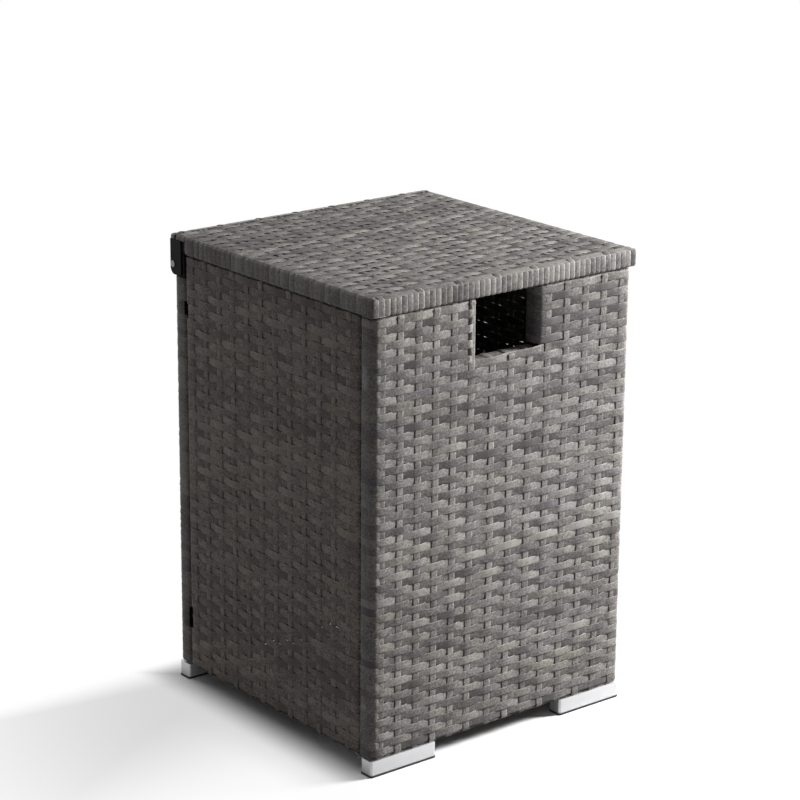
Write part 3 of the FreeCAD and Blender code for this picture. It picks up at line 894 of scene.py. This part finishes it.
def rail_strand(sizes, half, depth, dice):
    """One lengthwise strand on a rail, with a slow sway."""
    ends = (End("tuck", -half), End("tuck", half))
    places = even(-half + RAIL_RING_INSET, half - RAIL_RING_INSET, RAIL_RINGS)
    strand = Strand(sizes, ends, places, np.full(RAIL_RINGS, RAIL_LIFT), RAIL_LIFT)
    strand.cross = depth + RAIL_SWAY * np.sin(strand.along * RAIL_SWAY_PACE + dice.uniform(0, 6))
    return strand.colour(dice.uniform(*RAIL_TONES), dice)


@dataclass
class Side:
    """One side of the table: its turn from the front, its outer face and its random seed."""

    turn: float
    face: tuple
    half: float
    seed: int
    stakes: list


# Stakes are given as groups of (first, last, count), from the middle of the face
SIDES = {
    "front": Side(0.0, (0, front_low.y, 0), front_half, 11,
                  [(-183 * MM, -51.7 * MM, 6), (-19.8 * MM, 37.4 * MM, 3), (65.5 * MM, 182.7 * MM, 5)]),
    "right": Side(90.0, (-left_low.x, 0, 0), side_half, 12, [(-151 * MM, 160 * MM, 12)]),
    "back": Side(180.0, (0, -front_low.y, 0), front_half, 13, [(-183 * MM, 183 * MM, 14)]),
    "left": Side(-90.0, (left_low.x, 0, 0), side_half, 14, [(-160 * MM, 151 * MM, 12)]),
}


def on_side(side, origin, along, inward, across):
    """A face's directions, given as on the front, turned to a side of the table."""
    turn = math.radians(SIDES[side].turn)
    return Basis(origin, along, inward, across).turned(turn, SIDES[side].face)


# How near a row's end lies to a bolted joint where it bends into the seam, and how far in
JOINT_CLEARANCE = 11.5 * MM
SEAM_CLEARANCE = 3.0 * MM
NOTCH_REACH = 5.0 * MM
# Clearance of the rows to the hinge plates
HINGE_CLEARANCE = 5.0 * MM
HINGE_INSET = 3.5 * MM


def panel_end(side, place, height):
    """How a row ends: round the window's jamb, or at the edge beside joints and hinges."""
    sizes = settings()[0]
    if abs(place) < SIDES[side].half - MM:
        return End("wrap", place, panel_depth, panel_band, sizes.jamb_radius)
    if side == "back" and height > body_plate_low.z - HINGE_CLEARANCE:
        return End("tuck", place - math.copysign(HINGE_INSET, place))
    at_corner = side in ("front", "back")
    if min(abs(height - joint) for joint in joint_heights) >= JOINT_CLEARANCE:
        return End("wrap", place, panel_depth, panel_band, sizes.corner_radius if at_corner else 0.0)
    if at_corner:
        return End("bend", place, radius=sizes.corner_radius, reach=panel_depth - SEAM_CLEARANCE)
    return End("bend", place, radius=sizes.notch_radius, reach=NOTCH_REACH + sizes.notch_radius)


def row_groups(side, layout):
    """Groups of rows: count, first and last heights, steps between them, ends and parity."""
    half = SIDES[side].half
    top = (body_top - layout.top_row,) * 2
    bottom = (body_bottom + layout.bottom_row,) * 2
    if side != "front":
        number = layout.back_rows if side == "back" else layout.side_rows
        return [(number, top, bottom, number - 1, -half, half, 0)]
    sill = (body_top - layout.sill_row_left, body_top - layout.sill_row_right)
    left = layout.rows_left
    right = layout.rows_right
    below = layout.rows_below_sill
    return [
        (left, top, (sill[0], sill[0]), left, -half, layout.window_left, 0),
        (right, top, (sill[1], sill[1]), right, layout.window_right, half, left - right),
        (below, sill, bottom, below - 1, -half, half, left),
    ]


def panel_rows(side, layout, dice):
    """Rows of a panel from its top to its bottom."""
    rows = []
    for number, first, last, steps, low, high, parity in row_groups(side, layout):
        tones = drifting_tones(dice, number)
        for i in range(number):
            heights = tuple(a + (b - a) * i / steps for a, b in zip(first, last))
            ends = [panel_end(side, place, sum(heights) / 2) for place in (low, high)]
            rows.append(Row(*ends, heights, layout.row_slope_reach, parity + i, tones[i]))
    return rows


def panel_stakes(side, layout, dice):
    """Stakes of a panel from left to right."""
    heights = (body_bottom, body_top, body_top - layout.window_depth)
    bottom, top, sill = (End("wrap", height, panel_depth, panel_band) for height in heights)
    places = [place for group in SIDES[side].stakes for place in even(*group)]
    stakes = []
    for number, place in enumerate(places, 1):
        in_window = side == "front" and layout.window_left < place < layout.window_right
        tone = stake_tone(dice, 0.25, 0.85)
        stakes.append(Stake(number, place, bottom, sill if in_window else top, tone))
    return stakes


def rail_spans(side, layout):
    """Rails of a panel, as (height, sense of up into the rail, low end, high end)."""
    reach = SIDES[side].half - RAIL_INSET
    if side != "front":
        return [(body_bottom, 1, -reach, reach), (body_top, -1, -reach, reach)]
    left = layout.window_left - RAIL_INSET
    right = layout.window_right + RAIL_INSET
    return [
        (body_bottom, 1, -reach, reach),
        (body_top, -1, -reach, left),
        (body_top, -1, right, reach),
        (body_top - layout.window_depth, -1, left, right),
    ]


def lay_rails(side, sizes, layout, dice):
    """Lengthwise strands on the top, the bottom and the inner lips of a panel."""
    laid = []
    for height, into, low, high in rail_spans(side, layout):
        middle = (low + high) / 2
        rail_face = on_side(side, (middle, 0, height), (1, 0, 0), (0, 0, into), (0, 1, 0))
        lip_face = on_side(side, (middle, panel_depth, height), (1, 0, 0), (0, -1, 0), (0, 0, into))
        for face, depths in ((rail_face, RAIL_DEPTHS), (lip_face, LIP_DEPTHS)):
            for depth in depths:
                strand = rail_strand(sizes, (high - low) / 2, depth, dice)
                laid.append((strand, face, sizes.weaver_width, sizes.weaver_thickness))
    return laid


# How much a weaver of the back panel widens in a dip
BACK_SPREAD = 0.02


def weave_panel(side):
    """Weaves one panel: rows, stakes and the lengthwise strands on its rails."""
    sizes, layout, _, _ = settings()
    dice = np.random.default_rng(SIDES[side].seed)
    rows = panel_rows(side, layout, dice)
    stakes = panel_stakes(side, layout, dice)
    faces = (on_side(side, (0, 0, 0), (1, 0, 0), (0, 1, 0), (0, 0, 1)),
             on_side(side, (0, 0, 0), (0, 0, 1), (0, 1, 0), (1, 0, 0)))
    lift = sizes.weaver_lift * (1.0 if side == "front" else sizes.side_lift)
    spread = {"front": sizes.spread, "back": BACK_SPREAD}.get(side, sizes.side_spread)
    thickness = sizes.stake_thickness if side == "front" else sizes.side_stake
    laid_rows, laid_stakes = cross_strands(sizes, rows, stakes, faces, lift, spread, thickness, dice)
    laid_rails = lay_rails(side, sizes, layout, dice)
    stands_for = (side + "_panel_weave", side + "_panel_edge_wraps")
    # The left panel takes a copy of the strand with a warmer tint and coarser mottle, painted shade
    finish_name = "resin_strand_side" if side == "left" else "resin_strand"
    layers = {"_weavers": laid_rows, "_stakes": laid_stakes, "_rail_strands": laid_rails}
    for ending, laid in layers.items():
        woven_piece(side + ending, laid, "root", stands_for, finish_name)


LID_SEED = 21
LID_PIECES = ("lid_weave", "lid_edge_wraps")
LID_ROW_FACE = Basis((0, 0, lid_top), (1, 0, 0), (0, 0, -1), (0, 1, 0))
LID_STAKE_FACE = Basis((0, 0, lid_top), (0, 1, 0), (0, 0, -1), (1, 0, 0))
# Outermost rows from the lid's edges, and outermost stakes and ribs from its middle
LID_ROW_INSET = 16.9 * MM
LID_STAKE_REACH = 185.5 * MM
FRONT_RIB_REACH = 195.6 * MM
BACK_RIB_REACH = 192.7 * MM
# Share of the front's lift that the lid's rows have, and where and how deep its stakes end
LID_LIFT_SHARE = 0.9
LID_STAKE_INSET = 10.0 * MM
LID_STAKE_TUCK = -0.9 * MM
# How far a strand that ends at a hinge stays above its plate
PLATE_CLEARANCE = 0.8 * MM


def lid_ends(y):
    """How a strand across the lid ends at the lid's two side edges."""
    if y > hinge_low.y - HINGE_CLEARANCE:
        reach = lid_top - hinge_high.z - PLATE_CLEARANCE
        return [End("bend", place, reach=reach) for place in (-lid_half, lid_half)]
    return [End("wrap", place, lid_depth, lid_band) for place in (-lid_half, lid_half)]


def weave_lid():
    """Weaves the lid: rows across, stakes from front to back, ribs and leaders on the edges."""
    sizes, layout, _, _ = settings()
    dice = np.random.default_rng(LID_SEED)
    tones = drifting_tones(dice, layout.lid_rows)
    row_reach = lid_half - LID_ROW_INSET
    rows = []
    for i, y in enumerate(even(-row_reach, row_reach, layout.lid_rows)):
        rows.append(Row(*lid_ends(y), (y, y), 1.0, i, tones[i]))
    stake_ends = [End("tuck", sense * (lid_half - LID_STAKE_INSET)) for sense in (-1, 1)]
    stakes = []
    for i, x in enumerate(even(-LID_STAKE_REACH, LID_STAKE_REACH, layout.lid_stakes), 1):
        stakes.append(Stake(i, x, *stake_ends, stake_tone(dice, 0.2, 0.9)))
    faces = (LID_ROW_FACE, LID_STAKE_FACE)
    lift = sizes.weaver_lift * LID_LIFT_SHARE
    laid_rows, laid_stakes = cross_strands(
        sizes, rows, stakes, faces, lift, sizes.spread, sizes.stake_thickness, dice)
    for strand, *_ in laid_stakes:
        strand.lift[0] = strand.lift[-1] = LID_STAKE_TUCK
    woven_piece("lid_weavers", laid_rows, "lid", LID_PIECES)
    woven_piece("lid_stakes", laid_stakes, "lid", LID_PIECES)
    weave_lid_edge("front", -1.0, layout.front_ribs, FRONT_RIB_REACH, dice)
    weave_lid_edge("back", 1.0, layout.front_ribs - 1, BACK_RIB_REACH, dice)


# Where a rib starts to lie down on the lid, from its edge, and the way until it lies flat
RIB_LEAN_START = 5.0 * MM
RIB_LEAN_WAY = 10.0 * MM
# How far a crossing rib runs aside on the lid, and how unevenly the ribs are set
CROSSING_SHIFT = 3.5 * MM
RIB_SCATTER = 0.15 * MM


def weave_lid_edge(side, sense, number, reach, dice):
    """Ribs round the front or back edge of the lid, and the leader along its top."""
    sizes, layout, _, _ = settings()
    face = Basis((0, 0, lid_top), (0, -sense, 0), (0, 0, -1), (1, 0, 0))
    tones = drifting_tones(dice, number)
    laid = []
    crossing_places = []
    for i, x in enumerate(even(-reach, reach, number)):
        crosses = i % layout.rib_group == 1
        if crosses:
            crossing_places.append(x)
        strand = rib_strand(sizes, crosses)
        lean = np.clip((strand.along + lid_half - RIB_LEAN_START) / RIB_LEAN_WAY, 0.0, 1.0)
        shift = CROSSING_SHIFT if crosses else 0.0
        strand.cross = x + shift * lean + dice.normal(0, RIB_SCATTER)
        strand.twist = np.full(len(strand.run), -sense * sizes.rib_tilt) * (1.0 - lean)
        strand.colour(tones[i], dice)
        laid.append((strand, face, sizes.rib_width, sizes.weaver_thickness))
    woven_piece("lid_" + side + "_ribs", laid, "lid", LID_PIECES)
    leader = leader_strand(sizes, sense, crossing_places, dice)
    laid = [(leader, LID_ROW_FACE, sizes.leader_width, sizes.weaver_thickness)]
    woven_piece("lid_" + side + "_leader", laid, "lid", LID_PIECES)


# Rings of a rib on the lid's top, from the edge, with the lifts of a rib that crosses the
# leader and of one that ends under it, and where each ends
RIB_RINGS = np.array([4.6, 6.5, 8.5, 10.4, 12.0, 14.0]) * MM
CROSSING_LIFTS = np.array([1.0, 1.25, 1.3, 1.2, 0.6, -0.6]) * MM
CROSSING_TIP = 16.5 * MM
TUCKED_LIFTS = np.array([0.1, -0.45, -0.6, -0.6]) * MM
TUCKED_TIP = 11.0 * MM
# Where a tucked rib sinks under the leader, and how deep
RIB_BEND = 4.0 * MM
RIB_SINK = 0.7 * MM


def rib_strand(sizes, crosses):
    """One rib, from inside the lid round the edge tube to its top."""
    tip = (CROSSING_TIP if crosses else TUCKED_TIP) - lid_half
    ends = (End("wrap", -lid_half, lid_depth, lid_band), End("tuck", tip))
    rings = RIB_RINGS - lid_half
    rings = rings[rings < tip - MM]
    lifts = CROSSING_LIFTS if crosses else TUCKED_LIFTS
    strand = Strand(sizes, ends, rings, lifts[:len(rings)], sizes.wrap_lift, "round")
    if not crosses:
        past_edge = (strand.along + lid_half) / RIB_BEND
        at_top = strand.place[:, 1] < RIB_BEND
        drop = np.clip((past_edge - 0.4) / 0.5, 0.0, 1.0) * at_top
        strand.lift = strand.lift * (1.0 - drop) - RIB_SINK * drop
    return strand


# Rings of a leader round a crossing rib, as shares of half the dip, and its lifts there
DIP_RINGS = (-1.7, -1.0, -0.5, 0.5, 1.0, 1.7)
DIP_LIFTS = (0.55 * MM, 0.15 * MM, -0.35 * MM, -0.35 * MM, 0.15 * MM, 0.55 * MM)
DIP_HALF = 6.0 * MM
DIP_SHIFT = 1.8 * MM
LEADER_RING_INSET = 6.0 * MM
# Middle of a leader from the lid's edge, how far it leans to that edge, and its tone
LEADER_INSET = 5.6 * MM
LEADER_TILT = math.radians(11.0)
LEADER_TONE = 0.75


def leader_strand(sizes, sense, crossing_places, dice):
    """The flat strand along the top of the lid's front or back edge."""
    y = sense * (lid_half - LEADER_INSET)
    rings = []
    for place in crossing_places:
        middle = place + DIP_SHIFT
        rings += [(middle + DIP_HALF * step, lift) for step, lift in zip(DIP_RINGS, DIP_LIFTS)]
    rings = [ring for ring in rings if abs(ring[0]) < lid_half - LEADER_RING_INSET]
    places, lifts = zip(*rings)
    strand = Strand(sizes, lid_ends(y), places, lifts, sizes.wrap_lift)
    strand.cross = np.full(len(strand.run), y)
    strand.twist = np.full(len(strand.run), -sense * LEADER_TILT)
    return strand.colour(LEADER_TONE, dice)


# Corner radius, eased edge and wall of a foot and of a glide strip
FOOT_EASING = (3.0 * MM, 0.5 * MM, 2.0 * MM)
GLIDE_EASING = (3.7 * MM, 0.4 * MM, 2.8 * MM)
CORNER_SEGMENTS = 6
EDGE_SEGMENTS = 2
SMOOTH_ANGLE = math.radians(40.0)


def upright(edge):
    """True for an edge that runs along Z."""
    first, second = (vertex.co for vertex in edge.verts)
    return abs(first.z - second.z) > 1e-5 and abs(first.x - second.x) < 1e-6


def shaped_block(name, low, high, easing, eased_side, rise):
    """A block with rounded corners, one eased face, and the other inset and moved by a rise."""
    corner_radius, edge_radius, wall = easing
    deselect_all()
    bpy.ops.mesh.primitive_cube_add(size=1.0, location=(low + high) / 2)
    piece = bpy.context.object
    piece.name = name
    piece.data.name = name
    piece.scale = high - low
    bpy.ops.object.transform_apply(location=True, rotation=False, scale=True)
    bpy.ops.object.mode_set(mode="EDIT")
    mesh = bmesh.from_edit_mesh(piece.data)
    pick(mesh, "edges", upright)
    bpy.ops.mesh.bevel(offset=corner_radius, segments=CORNER_SEGMENTS, affect="EDGES")
    pick(mesh, "faces", lambda f: f.normal.z * eased_side > 0.9)
    bpy.ops.mesh.bevel(offset=edge_radius, segments=EDGE_SEGMENTS, affect="EDGES")
    pick(mesh, "faces", lambda f: f.normal.z * eased_side < -0.9)
    bpy.ops.mesh.inset(thickness=wall)
    bpy.ops.mesh.extrude_region_move(TRANSFORM_OT_translate={"value": (0, 0, rise)})
    bpy.ops.object.mode_set(mode="OBJECT")
    bpy.ops.object.shade_smooth_by_angle(angle=SMOOTH_ANGLE)
    return piece


def finish_piece(piece, finish_name, body, node):
    """Gives a piece its material and hands it to its body, in place of its CAD node."""
    piece.data.materials.append(bpy.data.materials[finish_name])
    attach(piece, body)
    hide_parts(node)


def make_foot(corner):
    """Aluminium foot: a cap with rounded upright corners, eased edges and a hollow underside."""
    node = corner + "_foot"
    low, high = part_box(node)
    *_, wall = FOOT_EASING
    piece = shaped_block(corner + "_foot_cap", low, high, FOOT_EASING, 1, high.z - low.z - wall)
    finish_piece(piece, "satin_aluminium", "root", node)


def make_glide(corner):
    """Black glide strip with rounded corners and the plug that holds it in the foot."""
    node = corner + "_glide"
    low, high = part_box(node)
    foot_low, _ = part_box(corner + "_foot")
    top = Vector((high.x, high.y, foot_low.z))
    piece = shaped_block(corner + "_glide_strip", low, top, GLIDE_EASING, -1, high.z - foot_low.z)
    finish_piece(piece, "glide_plastic", "root", node)


# Finish of each CAD node that stays in view, by the end of its name
NODE_FINISHES = {
    "_frame": "coated_steel",
    "_hinge_plate": "coated_steel",
    "_hinge_pin": "pin_steel",
    "_screws": "zinc_plate",
    "_bolts": "zinc_plate",
    "_inserts": "zinc_plate",
    "_spacers": "spacer_plastic",
}
# Tint and mottle of the strand, and those of the left panel's strand, whose warmer tint and coarser
# mottle are painted shade for that shaded side
STRAND_LOOK = ((1.0, 1.0, 1.0), 2.6)
SHADED_SIDE_LOOK = ((1.03, 0.97, 0.93), 3.8)


def mix_finishes():
    """Makes every material."""
    tones = settings()[2]
    strand_finish("resin_strand", tones, *STRAND_LOOK)
    strand_finish("resin_strand_side", tones, *SHADED_SIDE_LOOK)
    coated_finish("coated_steel", tones.steel_black, POWDER, 0.36)
    coated_finish("glide_plastic", tones.black_plastic, MOULDED, 0.45)
    coated_finish("spacer_plastic", tones.spacer_plastic, MOULDED, 0.5)
    metal_finish("satin_aluminium", tones.aluminium, (25.0, 900.0, 900.0), 0.40, 0.5)
    metal_finish("zinc_plate", tones.zinc, (400.0, 400.0, 400.0), 0.38)
    metal_finish("pin_steel", tones.bright_steel, (700.0, 700.0, 700.0), 0.35)


def dress_frame():
    """Gives the steel frames, hinges and fasteners their finishes."""
    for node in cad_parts:
        for ending, finish_name in NODE_FINISHES.items():
            if node.endswith(ending):
                dress_node(node, finish_name)


# Places and sizes of the lamps, and the height that they look at
KEY_PLACE = (1.57, -0.76, 0.95)
KEY_SIZE = 0.45
REAR_PLACE = (-0.45, 2.7, 1.5)
REAR_SIZE = 1.6
AIM_HEIGHT = 0.3
# The floor's size and tone, and the stretches in which it turns white: far from the table, behind it,
# before it with the share of white there, and out from its foot. The white is a glow, a painted light
# that washes the table's real shadow out in these stretches
FLOOR_SIZE = 60.0
FLOOR_TONE = 0.93
FAR_RAMP = (0.25, 0.75)
BEHIND_RAMP = (0.17, 0.25)
BEFORE_RAMP = (-0.12, 0.15)
NEAR_RAMP = (0.19, 0.30)
BEFORE_WHITE = 0.88
OUTSIDE_RAMP = (0.185, 0.245)
WHITE = (1.0, 1.0, 1.0, 1.0)


def set_stage():
    """Makes the floor, the white surroundings, the lamps and the camera."""
    stage = settings()[3]
    make_floor(stage)
    make_world(stage)
    make_lamp("key_lamp", KEY_PLACE, KEY_SIZE, stage.key_power)
    make_lamp("rear_lamp", REAR_PLACE, REAR_SIZE, stage.rear_power)
    make_camera(stage)
    bpy.context.scene.view_settings.view_transform = "Standard"


def make_floor(stage):
    """A wide pale floor that keeps the table's shadow beside it, with a glow, a painted light, that
    washes the shadow out far off and behind and before the table.
    """
    deselect_all()
    bpy.ops.mesh.primitive_plane_add(size=FLOOR_SIZE, location=(0, 0, 0))
    floor = bpy.context.object
    floor.name = "floor"
    finish = Finish("pale_floor")
    tree = finish.tree
    tree.nodes.remove(tree.nodes["Principled BSDF"])
    seen = seen_directly(finish)
    bounce = stage.floor_bounce
    pale = seen * (FLOOR_TONE - bounce) + bounce
    grey = finish.node("CombineColor", None, {0: pale, 1: pale, 2: pale})
    matt = finish.node("BsdfDiffuse", None, {"Color": grey})
    glow = finish.node("Emission", None, {"Color": WHITE, "Strength": 1.0})
    # The glow is painted light: where its share is high it covers the table's real shadow
    white = floor_whiteness(finish, stage.floor_white) * seen
    mixed = finish.node("MixShader", None, {0: white, 1: matt, 2: glow})
    finish.fill(tree.nodes["Material Output"].inputs["Surface"], mixed)
    floor.data.materials.append(finish.block)


def floor_whiteness(finish, least):
    """Share of glowing white over the floor, a painted light: none under the table, rising far off and
    behind and before it, where it washes out the real shadow.
    """
    place = finish.node("TexCoord", None, None, "Object")
    distance = finish.node("VectorMath", {"operation": "LENGTH"}, {0: place}, "Value")
    x = finish.node("SeparateXYZ", None, {0: place})
    y = x.beside("Y")
    reach = x.size().most(y.size())
    far = finish.ramp(distance, *FAR_RAMP)
    behind = finish.ramp(y, *BEHIND_RAMP)
    before = finish.ramp(y * -1.0, *BEFORE_RAMP) * finish.ramp(reach, *NEAR_RAMP) * BEFORE_WHITE
    fade = far.most(behind).most(before)
    return (least + fade * (1.0 - least)) * finish.ramp(reach, *OUTSIDE_RAMP)


def seen_directly(finish):
    """One where the camera, a reflection or a clear body looks, and zero elsewhere."""
    camera = finish.node("LightPath", None, None, "Is Camera Ray")
    return camera.most(camera.beside("Is Glossy Ray")).most(camera.beside("Is Transmission Ray"))


def make_world(stage):
    """White surroundings for the eye, and a soft light from all round."""
    world = bpy.data.worlds.new("studio")
    bpy.context.scene.world = world
    finish = Finish("studio", world)
    background = finish.tree.nodes["Background"]
    background.inputs["Color"].default_value = WHITE
    strength = stage.ambient + seen_directly(finish) * (1.0 - stage.ambient)
    finish.fill(background.inputs["Strength"], strength)


def make_lamp(name, place, size, watts):
    """A soft square lamp that looks at the middle of the table."""
    deselect_all()
    bpy.ops.object.light_add(type="AREA", location=place)
    lamp = bpy.context.object
    lamp.name = name
    lamp.data.shape = "SQUARE"
    lamp.data.size = size
    lamp.data.energy = watts
    aim = Vector((0, 0, AIM_HEIGHT)) - Vector(place)
    lamp.rotation_euler = aim.to_track_quat("-Z", "Y").to_euler()
    lamp.visible_camera = False


def make_camera(stage):
    """The camera at the photograph's viewing angle."""
    deselect_all()
    place = (stage.camera_east, stage.camera_north, stage.camera_height)
    bpy.ops.object.camera_add(location=place)
    camera = bpy.context.object
    camera.name = "camera"
    camera.data.lens = stage.lens
    camera.data.sensor_width = 36.0
    az = stage.camera_azimuth
    el = stage.camera_elevation
    forward = Vector((-math.sin(az) * math.cos(el), math.cos(az) * math.cos(el), -math.sin(el)))
    level = forward.to_track_quat("-Z", "Y").to_matrix()
    roll = Matrix.Rotation(stage.camera_roll, 3, "Z")
    camera.rotation_euler = (level @ roll).to_euler()
    bpy.context.scene.camera = camera


class TableStep:
    """What every step shares: it shows its settings and can be undone."""

    bl_options = {"REGISTER", "UNDO"}


class MixFinishes(TableStep, bpy.types.Operator):
    """Makes the materials of the strand, the metal and the plastic."""

    bl_idname = "cover_table.mix_finishes"
    bl_label = "Mix finishes"

    def execute(self, context):
        mix_finishes()
        return {"FINISHED"}


class DressFrame(TableStep, bpy.types.Operator):
    """Gives the steel frames, hinges and fasteners their finishes."""

    bl_idname = "cover_table.dress_frame"
    bl_label = "Dress frame"

    def execute(self, context):
        dress_frame()
        return {"FINISHED"}


class WeavePanel(TableStep, bpy.types.Operator):
    """Weaves one panel of the body."""

    bl_idname = "cover_table.weave_panel"
    bl_label = "Weave panel"

    side: EnumProperty(name="Side", description="Side of the table", default="front",
                       items=[(name, name.title(), "The " + name + " panel") for name in SIDES])

    def execute(self, context):
        weave_panel(self.side)
        return {"FINISHED"}


class WeaveLid(TableStep, bpy.types.Operator):
    """Weaves the lid with its ribs and leaders."""

    bl_idname = "cover_table.weave_lid"
    bl_label = "Weave lid"

    def execute(self, context):
        weave_lid()
        return {"FINISHED"}


class MakeFeet(TableStep, bpy.types.Operator):
    """Makes the four feet and their glide strips."""

    bl_idname = "cover_table.make_feet"
    bl_label = "Make feet"

    def execute(self, context):
        for corner in ("front_left", "front_right", "back_left", "back_right"):
            make_foot(corner)
            make_glide(corner)
        return {"FINISHED"}


class SetStage(TableStep, bpy.types.Operator):
    """Makes the floor, the lamps, the white surroundings and the camera."""

    bl_idname = "cover_table.set_stage"
    bl_label = "Set stage"

    def execute(self, context):
        set_stage()
        return {"FINISHED"}


class CoverTablePanel(bpy.types.Panel):
    """Lists the steps that make the table."""

    bl_idname = "VIEW3D_PT_cover_table"
    bl_label = "Cover Table"
    bl_space_type = "VIEW_3D"
    bl_region_type = "UI"
    bl_category = "Cover Table"

    def draw(self, context):
        layout = self.layout
        layout.operator(MixFinishes.bl_idname)
        layout.operator(DressFrame.bl_idname)
        for side in SIDES:
            layout.operator(WeavePanel.bl_idname, text="Weave " + side).side = side
        layout.operator(WeaveLid.bl_idname)
        layout.operator(MakeFeet.bl_idname)
        layout.operator(SetStage.bl_idname)
        for values in settings():
            box = layout.box()
            for name in values.__annotations__:
                box.prop(values, name)


CLASSES = (
    *GROUPS.values(), MixFinishes, DressFrame, WeavePanel, WeaveLid, MakeFeet, SetStage, CoverTablePanel,
)


def register():
    """Adds the classes and their settings."""
    for cls in CLASSES:
        bpy.utils.register_class(cls)
    for name, group in GROUPS.items():
        setattr(bpy.types.Scene, name, PointerProperty(type=group))


def unregister():
    """Takes the classes and their settings away."""
    for name in GROUPS:
        delattr(bpy.types.Scene, name)
    for cls in reversed(CLASSES):
        bpy.utils.unregister_class(cls)


def main():
    """Makes the whole table."""
    register()
    bpy.ops.cover_table.mix_finishes()
    bpy.ops.cover_table.dress_frame()
    for side in SIDES:
        bpy.ops.cover_table.weave_panel(side=side)
    bpy.ops.cover_table.weave_lid()
    bpy.ops.cover_table.make_feet()
    bpy.ops.cover_table.set_stage()
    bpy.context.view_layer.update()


if __name__ == "__main__":
    main()
